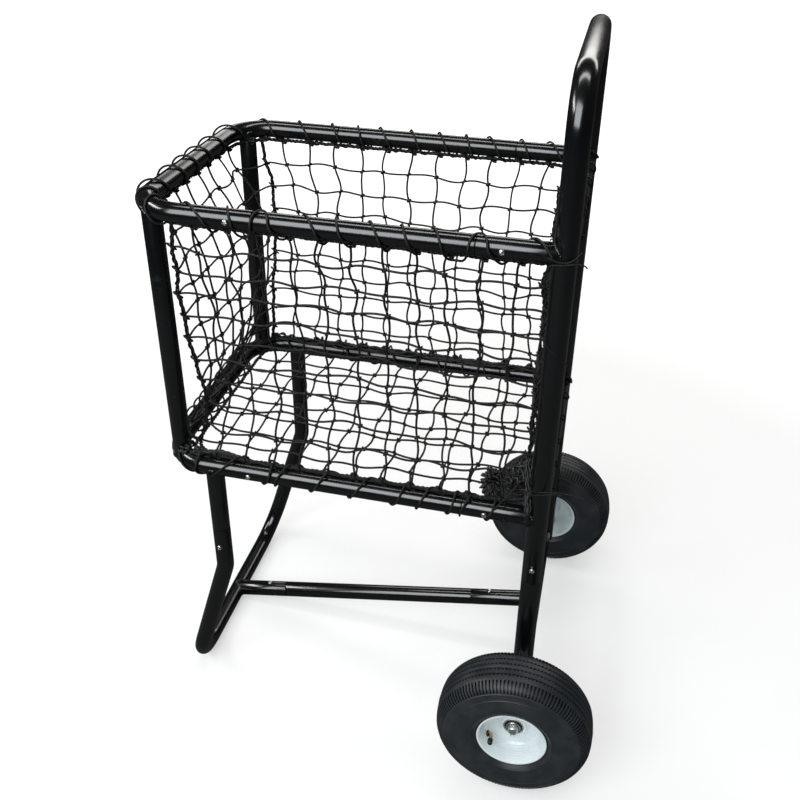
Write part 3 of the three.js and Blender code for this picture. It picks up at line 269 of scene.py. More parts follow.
def start_ring(place, direction, radius, sides=TUBE_SIDES):
    """A ring of vertices across a direction, in edit mode and selected."""
    bpy.ops.object.select_all(action="DESELECT")
    turned_to = direction.to_track_quat("Z", "Y").to_euler()
    bpy.ops.mesh.primitive_circle_add(vertices=sides, radius=radius, location=place, rotation=turned_to)
    bpy.ops.object.mode_set(mode="EDIT")
    bpy.ops.mesh.select_mode(type="VERT")
    bpy.ops.mesh.select_all(action="SELECT")
    return bpy.context.object


def extrude(move):
    bpy.ops.mesh.extrude_region_move(TRANSFORM_OT_translate={"value": move})


def smooth_by(degrees):
    bpy.ops.object.shade_smooth_by_angle(angle=math.radians(degrees))


def outwards(piece, axis_point):
    """Turn a tube's faces to point away from its centre line, judged at its first face."""
    bpy.ops.mesh.select_all(action="SELECT")
    bpy.ops.mesh.remove_doubles(threshold=1e-6)
    bpy.ops.mesh.normals_make_consistent(inside=False)
    bpy.ops.object.mode_set(mode="OBJECT")
    world = piece.matrix_world
    face = piece.data.polygons[0]
    normal = world.to_3x3() @ face.normal
    if normal.dot(world @ face.center - axis_point) < 0:
        bpy.ops.object.mode_set(mode="EDIT")
        bpy.ops.mesh.select_all(action="SELECT")
        bpy.ops.mesh.flip_normals()
        bpy.ops.object.mode_set(mode="OBJECT")


def add_wall(piece, wall):
    """Give a tube its wall and round the rims of its open ends."""
    solidify = piece.modifiers.new("wall", "SOLIDIFY")
    solidify.thickness = wall / 1000
    solidify.offset = -1
    bpy.ops.object.modifier_apply(modifier="wall")
    bevel = piece.modifiers.new("rim", "BEVEL")
    bevel.width = TUBE_RIM / 1000
    bevel.segments = 2
    bevel.limit_method = "ANGLE"
    bevel.angle_limit = math.radians(60)
    bpy.ops.object.modifier_apply(modifier="rim")
    smooth_by(40)


def bent_tube(corners, radii, radius, wall=TUBE_WALL):
    """A tube bent as on a mandrel: straight runs are extruded and bends are spun."""
    corners = [Vector(corner) for corner in corners]
    run = (corners[1] - corners[0]).normalized()
    piece = start_ring(corners[0], run, radius / 1000)
    at = corners[0]
    middle = (corners[0] + corners[1]) / 2
    for i in range(1, len(corners) - 1):
        after = (corners[i + 1] - corners[i]).normalized()
        bend = run.angle(after)
        bend_radius = radii[i - 1] / 1000
        bend_start = corners[i] - run * bend_radius * math.tan(bend / 2)
        axis = run.cross(after).normalized()
        extrude(bend_start - at)
        bpy.ops.mesh.spin(
            steps=max(4, round(bend / BEND_STEP)),
            angle=-bend,
            center=bend_start + axis.cross(run) * bend_radius,
            axis=axis,
        )
        at = corners[i] + after * bend_radius * math.tan(bend / 2)
        if i == 1:
            middle = (corners[0] + bend_start) / 2
        run = after
    extrude(corners[-1] - at)
    outwards(piece, middle)
    add_wall(piece, wall)
    return piece


handle_line = [
    cart(BASKET_LENGTH, y, height) for y, height in (
        (0, HANDLE_SEAM_HEIGHT), (0, HANDLE_HEIGHT),
        (BASKET_WIDTH, HANDLE_HEIGHT), (BASKET_WIDTH, HANDLE_SEAM_HEIGHT),
    )
]
finished(bent_tube(handle_line, [HANDLE_BEND_RADIUS] * 2, HANDLE_RADIUS), "handle", "handle_frame")


# Crossbars and rail sockets
# Two straight tubes of 30 mm join the handle's posts at the height of the basket's rails, and four
# short ones stand forward of the posts to take the side rails. All are welded on before spraying.
TOP_RAIL_HEIGHT = 950
BOTTOM_RAIL_HEIGHT = 505
TUBE_RADIUS = 15
REAR_SEAM = 504
WELD_RADIUS = 2.2
WELD_RIPPLES = 30
LEVELS = (("top", TOP_RAIL_HEIGHT), ("bottom", BOTTOM_RAIL_HEIGHT))
SIDES = (("near", 0, -1), ("far", BASKET_WIDTH, 1))


def straight_tube(start, end, radius=TUBE_RADIUS, wall=TUBE_WALL):
    return bent_tube([start, end], [], radius, wall)


def lengths_along(points):
    """How far along a line each of its points lies."""
    step = np.linalg.norm(np.diff(points, axis=0), axis=1)
    return np.concatenate([[0], np.cumsum(step)])


def strand(points, radii, sides):
    """The rings, faces and map of one round strand that follows the points, closed at its ends."""
    points = np.asarray(points, float)
    radii = np.broadcast_to(np.asarray(radii, float), (len(points),))
    along = np.gradient(points, axis=0)
    along /= np.linalg.norm(along, axis=1)[:, None]
    side = np.cross(along[0], (0.3, 0.2, 1.0))
    sides_of = [side / np.linalg.norm(side)]
    for direction in along[1:]:
        side = sides_of[-1] - direction * (sides_of[-1] @ direction)
        sides_of.append(side / np.linalg.norm(side))
    across = np.array(sides_of)
    over = np.cross(along, across)
    angle = 2 * np.pi * np.arange(sides) / sides
    ring = across[:, None] * np.cos(angle)[None, :, None] + over[:, None] * np.sin(angle)[None, :, None]
    vertices = (points[:, None] + ring * radii[:, None, None]).reshape(-1, 3)
    length = lengths_along(points)
    faces, corners = [], []
    for i in range(len(points) - 1):
        for k in range(sides):
            after = (k + 1) % sides
            faces.append((i * sides + k, i * sides + after, (i + 1) * sides + after, (i + 1) * sides + k))
            low, high = k / sides, (k + 1) / sides
            corners += [(low, length[i]), (high, length[i]), (high, length[i + 1]), (low, length[i + 1])]
    last = (len(points) - 1) * sides
    faces.append(tuple(range(sides))[::-1])
    faces.append(tuple(range(last, last + sides)))
    corners += [(0, 0)] * sides + [(0, length[-1])] * sides
    return vertices, faces, corners


def new_piece(mesh, *how, **more):
    """A piece of the cart from a mesh that is already in place."""
    piece = bpy.data.objects.new(mesh.name, mesh)
    bpy.context.scene.collection.objects.link(piece)
    return dressed(piece, *how, **more)


def strands_piece(name, strands, material, *nodes, slot="black_twine"):
    """One piece made of several strands, with a map of turns round and metres along each one."""
    vertices, faces, corners = [], [], []
    start = 0
    for places, cells, uvs in strands:
        vertices.append(places)
        faces += [tuple(v + start for v in cell) for cell in cells]
        corners += uvs
        start += len(places)
    mesh = bpy.data.meshes.new(name)
    mesh.from_pydata(np.concatenate(vertices).tolist(), [], faces)
    layer = mesh.uv_layers.new(name="strand")
    layer.data.foreach_set("uv", np.array(corners, np.float32).ravel())
    mesh.shade_smooth()
    return new_piece(mesh, name, nodes, material, slot)


def weld_bead(centre, axis, radius, other_axis, other_radius=TUBE_RADIUS, sink=0.6):
    """The rippled bead where a tube's end is welded onto the side of another tube."""
    axis, other = Vector(axis).normalized(), Vector(other_axis).normalized()
    side = axis.cross(other).normalized()
    points, radii = [], []
    steps = WELD_RIPPLES * 4
    for k in range(steps + 1):
        angle = 2 * math.pi * k / steps
        across, along = radius * math.cos(angle), radius * math.sin(angle)
        reach = math.sqrt(max(0.0, (other_radius - sink) ** 2 - min(across, other_radius - sink) ** 2))
        ripple = 0.5 + 0.5 * math.sin(2 * math.pi * WELD_RIPPLES * k / steps)
        place = centre + (side * across + other * along + axis * reach) / 1000
        place.z = max(place.z, WELD_RADIUS / 1000)
        points.append(place)
        radii.append(WELD_RADIUS * (0.8 + 0.2 * ripple) / 1000)
    return strand(points, radii, 8)


beads = []
for level, height in LEVELS:
    bar = straight_tube(cart(BASKET_LENGTH, 4, height), cart(BASKET_LENGTH, BASKET_WIDTH - 4, height))
    finished(bar, f"{level}_crossbar", f"handle_{level}_crossbar")
    for side, y, way in SIDES:
        socket = straight_tube(cart(REAR_SEAM, y, height), cart(BASKET_LENGTH - 3, y, height))
        finished(socket, f"{level}_socket_{side}", f"rail_socket_{level}_{side}")
        post = cart(BASKET_LENGTH, y, height)
        beads.append(weld_bead(post, (0, -way, 0), TUBE_RADIUS, (0, 0, 1), HANDLE_RADIUS))
        beads.append(weld_bead(post, (-1, 0, 0), TUBE_RADIUS, (0, 0, 1), HANDLE_RADIUS))


# End hoops and end posts
# Two tubes bent round the front corners of the basket, one over the other, with a straight post
# welded between them at each corner. The lower one carries two drawn-down spigots for the stand.
FRONT_SEAM = 187
HOOP_BEND_RADIUS = 71
POST_INSET = HOOP_BEND_RADIUS * (1 - math.sqrt(0.5))
STAND_SETBACK = 86
STAND_SEAM_HEIGHT = 375
SPIGOT_LENGTH = 56
SPIGOT_RADIUS = 12.9
SPIGOT_STEP = 0.4
TAPER = 3


def drawn_tube(start, end, at_start=True, at_end=True, radius=TUBE_RADIUS, spigot=SPIGOT_RADIUS):
    """A straight tube whose chosen ends are drawn down through a short taper to a spigot."""
    run = (end - start).normalized()

    def drawn_end(at, out):
        return [
            (at - out * TAPER / 1000, radius),
            (at - out * TAPER / 4000, radius - SPIGOT_STEP),
            (at + out * SPIGOT_STEP / 1000, spigot),
            (at + out * SPIGOT_LENGTH / 1000, spigot),
        ]

    rows = drawn_end(start, -run)[::-1] if at_start else [(start, radius)]
    rows += drawn_end(end, run) if at_end else [(end, radius)]
    piece = start_ring(rows[0][0], run, rows[0][1] / 1000)
    for (before, size), (place, next_size) in zip(rows, rows[1:]):
        extrude(place - before)
        share = next_size / size
        bpy.ops.transform.resize(value=(share, share, share), center_override=place)
    outwards(piece, (rows[0][0] + rows[1][0]) / 2)
    add_wall(piece, TUBE_WALL)
    return piece


for level, height in LEVELS:
    hoop_line = [
        cart(x, y, height)
        for x, y in ((FRONT_SEAM, 0), (0, 0), (0, BASKET_WIDTH), (FRONT_SEAM, BASKET_WIDTH))
    ]
    hoop = bent_tube(hoop_line, [HOOP_BEND_RADIUS] * 2, TUBE_RADIUS)
    finished(hoop, f"{level}_hoop", f"end_hoop_{level}")
for side, y, way in SIDES:
    spigot_foot = cart(STAND_SETBACK, y, STAND_SEAM_HEIGHT)
    spigot = drawn_tube(spigot_foot, cart(STAND_SETBACK, y, BOTTOM_RAIL_HEIGHT - 8), at_end=False)
    finished(spigot, f"stand_spigot_{side}")
    rail_line = cart(STAND_SETBACK, y, BOTTOM_RAIL_HEIGHT)
    beads.append(weld_bead(rail_line, (0, 0, -1), TUBE_RADIUS, (1, 0, 0)))
    post_y = y - way * POST_INSET
    post_ends = [cart(POST_INSET, post_y, z) for z in (BOTTOM_RAIL_HEIGHT + 4, TOP_RAIL_HEIGHT - 4)]
    finished(straight_tube(*post_ends), f"post_{side}", f"end_post_{side}")
    for height, down in ((TOP_RAIL_HEIGHT, -1), (BOTTOM_RAIL_HEIGHT, 1)):
        corner = cart(POST_INSET, post_y, height)
        beads.append(weld_bead(corner, (0, 0, down), TUBE_RADIUS, (1, way, 0)))


# Side rails
# Four straight tubes, drawn down at both ends to slide into the hoops and the rail sockets, where
# one screw holds each end.
SEAM_GAP = 0.3

for level, height in LEVELS:
    for side, y, way in SIDES:
        rail = drawn_tube(cart(FRONT_SEAM + SEAM_GAP, y, height), cart(REAR_SEAM - SEAM_GAP, y, height))
        finished(rail, f"{level}_rail_{side}", f"side_rail_{level}_{side}")


# Stand and brace
# A tube bent to a broad U, kinked forward below its joints so that its bar rests on the floor.
# A brace in three lengths, screwed at both joints, ties the bar to the axle sleeve.
STAND_BAR_SETBACK = 3
STAND_BAR_HEIGHT = TUBE_RADIUS * math.cos(math.pi / 12)
STAND_KINK_HEIGHT = 286
STAND_KINK_RADIUS = 60
STAND_CORNER_RADIUS = 78
AXLE_HEIGHT = 130
SLEEVE_RADIUS = 12.5
BRACE_FRONT_SEAM = 113
BRACE_REAR_SEAM = 122

stand_leg = [
    (STAND_SETBACK, STAND_SEAM_HEIGHT), (STAND_SETBACK, STAND_KINK_HEIGHT), (STAND_BAR_SETBACK, TUBE_RADIUS),
]
stand_line = [cart(x, 0, z) for x, z in stand_leg]
stand_line += [cart(x, BASKET_WIDTH, z) for x, z in reversed(stand_leg)]
stand_bends = [STAND_KINK_RADIUS, STAND_CORNER_RADIUS, STAND_CORNER_RADIUS, STAND_KINK_RADIUS]
finished(bent_tube(stand_line, stand_bends, TUBE_RADIUS), "stand", "stand_loop")

brace_start = cart(STAND_BAR_SETBACK, BASKET_WIDTH / 2, STAND_BAR_HEIGHT)
brace_end = cart(BASKET_LENGTH, BASKET_WIDTH / 2, AXLE_HEIGHT)
brace_run = (brace_end - brace_start).normalized()
brace_up = Vector((-brace_run.z, 0, brace_run.x))
brace_length = (brace_end - brace_start).length * 1000
brace_seam = brace_length - BRACE_REAR_SEAM


def on_brace(distance):
    """A place on the brace's centre line, this many millimetres from the stand's bar."""
    return brace_start + brace_run * distance / 1000


finished(straight_tube(on_brace(6), on_brace(BRACE_FRONT_SEAM)), "brace_front_socket")
beads.append(weld_bead(on_brace(0), brace_run, TUBE_RADIUS, (0, 1, 0)))
brace = drawn_tube(on_brace(BRACE_FRONT_SEAM + SEAM_GAP), on_brace(brace_seam - SEAM_GAP))
finished(brace, "brace", "brace_tube")
finished(straight_tube(on_brace(brace_seam), on_brace(brace_length - 4)), "brace_rear_socket")
beads.append(weld_bead(on_brace(brace_length), -brace_run, TUBE_RADIUS, (0, 1, 0), SLEEVE_RADIUS))


# Wheel legs and axle sleeve
# Each leg is a 33 mm tube, drawn down at the top to slide into the handle and crossed at its foot
# by the sleeve, a 25 mm tube welded through both legs that carries the axle.
SLEEVE_REACH = 33.7
SLEEVE_WALL = 4.1
LEG_OVERRUN = 20
LEG_SPIGOT_RADIUS = 14.5

for side, y, way in SIDES:
    leg_foot = cart(BASKET_LENGTH, y, AXLE_HEIGHT - LEG_OVERRUN)
    leg_top = cart(BASKET_LENGTH, y, HANDLE_SEAM_HEIGHT - SEAM_GAP)
    leg = drawn_tube(leg_foot, leg_top, at_start=False, radius=HANDLE_RADIUS, spigot=LEG_SPIGOT_RADIUS)
    finished(leg, f"leg_{side}", f"wheel_leg_{side}")
    for along in (-1, 1):
        crossing = cart(BASKET_LENGTH, y, AXLE_HEIGHT)
        beads.append(weld_bead(crossing, (0, along, 0), SLEEVE_RADIUS, (0, 0, 1), HANDLE_RADIUS))
sleeve_ends = [cart(BASKET_LENGTH, y, AXLE_HEIGHT) for y in (-SLEEVE_REACH, BASKET_WIDTH + SLEEVE_REACH)]
finished(straight_tube(*sleeve_ends, SLEEVE_RADIUS, SLEEVE_WALL), "axle_sleeve_tube", "axle_sleeve")
strands_piece("weld_beads", beads, PAINT, slot="black_paint")


# Net
# A box of knotted black twine hangs inside the frame: four sides and a floor of meshes of about
# 45 mm, each bounded by a laid rope. A thick rope runs down each corner, where the sides meet.
TWINE = 1.8
MESHES_ALONG = 12
MESHES_ACROSS = 8
MESHES_DOWN = 10
NET_STEPS = 6
NET_WANDER = 2.8
NET_SLANT = 0.22
NET_SAG = 9
ROPE_STRAND = 1.6
ROPE_TWIST = 22
CORNER_TWIST = 40
BORDER_DROP = 18.3
BORDER_INSET = 4
FLOOR_INSET = 18.3
END_POWER = 12
TWINE_BLACK = (0.0024, 0.0022, 0.0021)
# The lighter twine colour stands for dusty patches and for painted light on the plies' crowns.
TWINE_DUST_AND_PLY_LIGHT = (0.013, 0.0118, 0.0108)
CORNER_ROPES = {
    "near_front": [
        (55, 8, 932), (52, 14, 862), (49, 20, 813), (50, 26, 762), (53, 32, 702), (60, 36, 656),
        (66, 40, 611), (60, 40, 565), (47, 36, 523),
    ],
    "far_front": [
        (42, 402, 932), (49, 400, 899), (61, 394, 872), (62, 391, 845), (69, 386, 810), (68, 380, 756),
        (65, 378, 715), (57, 378, 651), (53, 380, 584), (44, 390, 523),
    ],
    "near_rear": [
        (603, 9, 932), (594, 14, 905), (597, 18, 886), (603, 20, 850), (606, 20, 800), (605, 20, 760),
        (601, 22, 725), (598, 24, 660), (597, 26, 607), (602, 27, 560), (604, 24, 523),
    ],
    "far_rear": [
        (601, 400, 932), (586, 395, 905), (580, 390, 846), (583, 388, 800), (588, 389, 740),
        (592, 391, 660), (594, 392, 600), (597, 394, 560), (602, 397, 523),
    ],
}
BEND_RUN = math.pi / 2 * HOOP_BEND_RADIUS
NEAR_RUN = BASKET_LENGTH - HOOP_BEND_RADIUS
FRONT_START = NEAR_RUN + BEND_RUN
FRONT_RUN = BASKET_WIDTH - 2 * HOOP_BEND_RADIUS
FAR_START = FRONT_START + FRONT_RUN + BEND_RUN
REAR_START = FAR_START + NEAR_RUN
REAR_TURN = 28
UPWARD = np.array([0, 0, 1.0])

chance = random.Random(36)


def twine_finish(name, turns_per_metre, dulling=0.4, sheen=0.5):
    """Black nylon twine: three laid plies as a slanting bump, painted lighter on their crowns and darker
    between them as painted light and shade, dusty patches, fuzzy dulling and a faint brown cast.
    """
    finish = Finish(name)
    turns = finish.map.axis(0) + finish.map.axis(1) * turns_per_metre
    ply = (turns * (3 * math.tau)).math("SINE") * 0.5 + 0.5
    fuzz = finish.place.noise(900, 2)
    dust = finish.place.noise(25, 3).between(0.4, 0.8)
    # The ply pattern paints light on the plies' crowns and shade in the grooves between them; the noise adds
    # real dusty patches.
    return finish.set(
        Base_Color=(ply * 0.35 + dust * 0.3).blend(TWINE_BLACK, TWINE_DUST_AND_PLY_LIGHT),
        Roughness=fuzz * 0.2 + dulling,
        Specular_IOR_Level=sheen,
        Normal=(ply + fuzz * 0.3).bump(0.6, 0.0006),
    )


TWINE_FINISH = twine_finish("knotted black twine", 160)
ROPE_FINISH = twine_finish("laid black rope", 110)
GATHERED_FINISH = twine_finish("gathered black twine", 160, 0.26, 1.0)


def near_at(x):
    """How far along the lacing's way this x lies on the near rail. The next three are alike."""
    return BASKET_LENGTH - x


def front_at(y):
    return FRONT_START + y - HOOP_BEND_RADIUS


def far_at(x):
    return FAR_START + x - HOOP_BEND_RADIUS


def rear_at(y):
    return REAR_START + REAR_TURN + BASKET_WIDTH - y


def rail_place(distance):
    """The ring of rails' centre line and its outward direction, this far along the lacing's way.

    The far rail and its corner mirror the near ones.
    """
    r = HOOP_BEND_RADIUS
    if distance >= REAR_START:
        angle = min((distance - REAR_START) / REAR_TURN, 1) * math.pi / 2
        past = max(0, distance - REAR_START - REAR_TURN)
        out = np.array([math.sin(angle), math.cos(angle) if past == 0 else 0, 0])
        return np.array([BASKET_LENGTH, BASKET_WIDTH - past, 0]), out
    if distance > FRONT_START + FRONT_RUN:
        centre, out = rail_place(FAR_START + NEAR_RUN - distance)
        return np.array([centre[0], BASKET_WIDTH - centre[1], 0]), out * (1, -1, 1)
    if distance >= FRONT_START:
        return np.array([0, distance - FRONT_START + r, 0]), np.array([-1, 0, 0])
    if distance > NEAR_RUN:
        angle = (distance - NEAR_RUN) / r
        out = np.array([-math.sin(angle), -math.cos(angle), 0])
        return np.array([r, r, 0]) + out * r, out
    return np.array([BASKET_LENGTH - distance, 0, 0]), np.array([0, -1, 0])


def bow(share):
    return math.sin(math.pi * share)


def net_height(share):
    top, bottom = TOP_RAIL_HEIGHT - BORDER_DROP, BOTTOM_RAIL_HEIGHT + BORDER_DROP
    return top + (bottom - top) * share


def corner_place(corner, share):
    """A place on a corner rope, from its top to its bottom."""
    places = np.array(CORNER_ROPES[corner][::-1], float)
    height = net_height(share)
    near = np.clip([height - 9, height, height + 9], places[0, 2], places[-1, 2])
    x, y = (np.interp(near, places[:, 2], places[:, k]).mean() for k in (0, 1))
    return np.array([x, y, height])


def ring_place(distance, inset, height):
    """A place beside the ring of rails, this far in from its centre line and at this height."""
    centre, out = rail_place(distance)
    return centre - out * inset + np.array([0, 0, height])


def side_of_net(first, last, start, end, inwards):
    """The places of one side between two corner ropes, whose edges follow the rails."""
    def place(u, v):
        from_rope, to_rope = corner_place(first, v), corner_place(last, v)
        chord = from_rope * (1 - u) + to_rope * u + np.array(inwards) * NET_SAG * bow(v) * bow(u)
        edge = ring_place(start + (end - start) * u, BORDER_INSET, net_height(v))
        ending = abs(2 * u - 1) ** END_POWER
        edge = edge * (1 - ending) + (from_rope if u < 0.5 else to_rope) * ending
        held = (1 - bow(v)) ** 1.5
        return chord * (1 - held) + edge * held
    return place


def floor_net(u, v):
    """A place on the floor of the net, from front to rear and from the near to the far side."""
    def edge(distance):
        return ring_place(distance, FLOOR_INSET, BOTTOM_RAIL_HEIGHT - 1)

    def near(t):
        return edge(near_at(40 + (BASKET_LENGTH - 58) * t))

    def far(t):
        return edge(far_at(40 + (BASKET_LENGTH - 58) * t))

    def front(t):
        return edge(front_at(BASKET_WIDTH * (0.07 + 0.86 * t)))

    def rear(t):
        return edge(rear_at(18 + (BASKET_WIDTH - 36) * t))

    flat = (
        near(u) * (1 - v) + far(u) * v + front(v) * (1 - u) + rear(v) * u
        - (near(0) + front(0)) / 2 * (1 - u) * (1 - v) - (far(0) + front(1)) / 2 * (1 - u) * v
        - (near(1) + rear(0)) / 2 * u * (1 - v) - (far(1) + rear(1)) / 2 * u * v
    )
    return flat - np.array([0, 0, NET_SAG * bow(u) * bow(v)])


def unit(vectors):
    return vectors / np.maximum(np.linalg.norm(vectors, axis=-1, keepdims=True), 1e-9)


def eased(nodes, slants, steps):
    """A smooth wavering line through the nodes, each crossed along its own slanted direction."""
    nodes = np.asarray(nodes, float)
    tangent = np.gradient(nodes, axis=0)
    span = np.linalg.norm(tangent, axis=1, keepdims=True)
    tangent = tangent + slants * span
    out = []
    for a, b, ta, tb in zip(nodes, nodes[1:], tangent, tangent[1:]):
        for k in range(steps):
            t = k / steps
            out.append(
                a * (2 * t**3 - 3 * t**2 + 1) + ta * (t**3 - 2 * t**2 + t)
                + b * (3 * t**2 - 2 * t**3) + tb * (t**3 - t**2)
            )
    return np.array(out + [nodes[-1]])


def to_frame(points):
    """Points in the cart's millimetres as places in the row frame."""
    return (np.asarray(points, float) + np.array(CART_SHIFT)) / 1000


def twine(line, radius, sides=5):
    """A strand along a line on the cart, both in millimetres."""
    return strand(to_frame(line), radius / 1000, sides)


def knot_loop(place, along, down, size=1.0):
    """The short bight of twine that wraps one crossing of the net."""
    normal = unit(np.cross(along, down))
    slope = unit(along + down * 0.8)
    other = unit(np.cross(normal, slope))
    steps = 9
    angle = np.linspace(0, 2 * np.pi * 0.93, steps)
    loop = (
        place
        + np.outer(np.cos(angle), normal) * TWINE * 1.7 * size
        + np.outer(np.sin(angle), other) * TWINE * 2.1 * size
        + np.outer(np.linspace(-0.6, 0.6, steps), slope) * TWINE
    )
    return twine(loop, TWINE * 0.9)


def net_panel(name, columns, rows, place):
    """One panel of the net: its wandering twines and the knots where they cross."""
    grid = [[place(i / columns, j / rows) for j in range(rows + 1)] for i in range(columns + 1)]
    grid = np.array(grid, float)
    along = unit(np.gradient(grid, axis=0))
    down = unit(np.gradient(grid, axis=1))
    normal = unit(np.cross(along, down))
    crossings = [(i, j) for i in range(1, columns) for j in range(1, rows)]
    for at in crossings:
        grid[at] += along[at] * chance.gauss(0, NET_WANDER) + down[at] * chance.gauss(0, NET_WANDER)
        grid[at] += normal[at] * chance.gauss(0, NET_WANDER / 2)

    def wavering(nodes, directions, phase):
        slants = [
            d * ((-1) ** (k + phase) * NET_SLANT + chance.gauss(0, NET_SLANT / 2))
            for k, d in enumerate(directions)
        ]
        return twine(eased(nodes, np.array(slants), NET_STEPS), TWINE, 6)

    strands = [wavering(grid[:, j], down[:, j], j) for j in range(1, rows)]
    strands += [wavering(grid[i], along[i], i) for i in range(1, columns)]
    strands += [knot_loop(grid[at], along[at], down[at]) for at in crossings]
    strands_piece(f"net_{name}", strands, TWINE_FINISH, f"net_panel_{name}")


near_side = side_of_net("near_front", "near_rear", near_at(50), near_at(604), (0, 1, 0))
far_side = side_of_net("far_front", "far_rear", far_at(38), far_at(604), (0, -1, 0))
front_side = side_of_net("near_front", "far_front", front_at(46), front_at(378), (1, 0, 0))
rear_side = side_of_net("near_rear", "far_rear", rear_at(19), rear_at(395), (-1, 0, 0))
NET_SIDES = (
    ("near", MESHES_ALONG, near_side), ("far", MESHES_ALONG, far_side),
    ("front", MESHES_ACROSS, front_side), ("rear", MESHES_ACROSS, rear_side),
)
for name, meshes, side in NET_SIDES:
    net_panel(name, meshes, MESHES_DOWN, side)
net_panel("floor", MESHES_ALONG, MESHES_ACROSS, floor_net)


def laid_rope(line, thickness, pitch):
    """A rope of three plies laid round its centre line."""
    line = np.asarray(line, float)
    along = unit(np.gradient(line, axis=0))
    side = unit(np.cross(along, (0.31, 0.17, 1.0)))
    over = np.cross(along, side)
    length = lengths_along(line)
    strands = []
    for k in range(3):
        angle = 2 * np.pi * (length / pitch + k / 3)
        reach = ROPE_STRAND * thickness * (1 + 0.25 * np.sin(length / pitch * 1.7 + k * 2.1))
        ply = line + side * (np.cos(angle) * reach)[:, None] + over * (np.sin(angle) * reach)[:, None]
        strands.append(twine(ply, ROPE_STRAND, 6))
    return strands


def resampled(points, gap):
    """The same line with a point every so many millimetres."""
    points = np.asarray(points, float)
    length = lengths_along(points)
    places = np.linspace(0, length[-1], max(2, int(length[-1] / gap) + 1))
    return np.stack([np.interp(places, length, points[:, k]) for k in range(3)], axis=1)


borders = []
edges = [[side(k / 60, v) for k in range(61)] for _, _, side in NET_SIDES for v in (0, 1)]
edges.append(
    [floor_net(k / 20, 0) for k in range(0, 21)] + [floor_net(1, k / 20) for k in range(1, 21)]
    + [floor_net(1 - k / 20, 1) for k in range(1, 21)] + [floor_net(0, 1 - k / 20) for k in range(1, 21)]
)
for edge in edges:
    line = resampled(edge, 4)
    sway = np.array([math.sin(k * 0.55) * 0.8 + chance.gauss(0, 0.35) for k in range(len(line))])
    line[:, 2] += sway * 0.5
    borders += laid_rope(line, 1.3, ROPE_TWIST)
for corner in CORNER_ROPES:
    line = resampled([corner_place(corner, k / 40) for k in range(41)], 5)
    for k, place in enumerate(line):
        place[0] += math.sin(k * 0.42 + 1) * 1.3 + chance.gauss(0, 0.3)
        place[1] += math.cos(k * 0.36) * 1.3 + chance.gauss(0, 0.3)
    borders += laid_rope(line, 1.25, CORNER_TWIST)
    for share in np.linspace(0, 1, MESHES_DOWN + 1)[1:-1]:
        knot = line[round(share * (len(line) - 1))]
        borders.append(knot_loop(knot, UPWARD, np.array([0.7, 0.7, 0]), 2.2))
for _, meshes, side in NET_SIDES:
    for v in (0, 1):
        for k in range(1, meshes):
            here, after = side(k / meshes, v), side(k / meshes + 0.01, v)
            run = unit(after - here)
            for slip in (-1.5, 1.5):
                borders.append(knot_loop(here + run * slip, run, UPWARD, 2.1))
strands_piece("net_borders", borders, ROPE_FINISH)


# Gathered edges
# Spare meshes are gathered along the front edge of the floor and lie in a soft black roll on the
# bottom hoop. At the corners the ropes end in tangled knots, and one bight stands over the rail.
ROLL_STRANDS = 16
FAR_ROLL_STRANDS = 5
ROLL_INSET = 11
ROLL_RISE = 17
ROLL_REACH = 6.5
KNOT_STRANDS = 5
CORNER_KNOTS = [
    ((30, 10, 522), 9), ((56, 8, 524), 8), ((60, 52, 930), 9), ((26, 388, 522), 9), ((48, 402, 524), 9),
    ((30, 388, 934), 8), ((48, 402, 934), 8), ((603, 14, 934), 8), ((604, 16, 520), 9), ((604, 396, 934), 8),
    ((604, 396, 522), 9),
]
STANDING_BIGHT = [(41, 6, 519), (63, 6, 523), (82, 6, 534), (103, 6, 536), (122, 6, 528), (139, 7, 521)]


def curve(points, steps):
    """A smooth line through control points, drawn in with repeated linear blends."""
    points = np.asarray(points, float)
    line = []
    for t in np.linspace(0, 1, steps):
        level = points
        while len(level) > 1:
            level = level[:-1] * (1 - t) + level[1:] * t
        line.append(level[0])
    return np.array(line)


def smoothed(points, times=2):
    """The same line with its corners eased."""
    points = np.array(points)
    for _ in range(times):
        points[1:-1] = points[1:-1] / 2 + (points[:-2] + points[2:]) / 4
    return points


def roll_strand(start, end, rise, number):
    """One of the gathered strands, which wanders about the middle of the roll."""
    phase = number * 2.4
    line = []
    for at in np.arange(start, end, 6.0):
        across = math.sin(at / 19 + phase) + 0.6 * math.sin(at / 7.3 + phase * 2)
        over = math.cos(at / 23 + phase * 1.7) + 0.6 * math.sin(at / 8.7 + phase * 3)
        height = BOTTOM_RAIL_HEIGHT + rise + over * ROLL_REACH * 0.6
        line.append(ring_place(at, ROLL_INSET + across * ROLL_REACH * 0.7, height))
    return twine(smoothed(line), TWINE * 0.75)


def tangle(place, reach):
    """A few strands that run round and through one knot."""
    knot = []
    for k in range(KNOT_STRANDS):
        lean = chance.uniform(0, math.pi)
        line = []
        for t in np.linspace(0, 2 * math.pi * 1.7, 26):
            size = reach * (0.75 + 0.3 * math.sin(2.3 * t + k))
            flat = np.array([math.cos(t), math.sin(t) * math.cos(lean), math.sin(t) * math.sin(lean)])
            line.append(np.array(place, float) + flat * size)
        knot.append(twine(line, TWINE * 0.8))
    return knot


gathers = [roll_strand(front_at(8), front_at(400), ROLL_RISE, k) for k in range(ROLL_STRANDS)]
gathers += [roll_strand(far_at(40), far_at(600), ROLL_RISE + 2, k) for k in range(FAR_ROLL_STRANDS)]
for place, reach in CORNER_KNOTS:
    gathers += tangle(place, reach)
gathers += laid_rope(smoothed(resampled(curve(STANDING_BIGHT, 30), 4)), 1.3, 30)
strands_piece("net_gathers", gathers, GATHERED_FINISH)


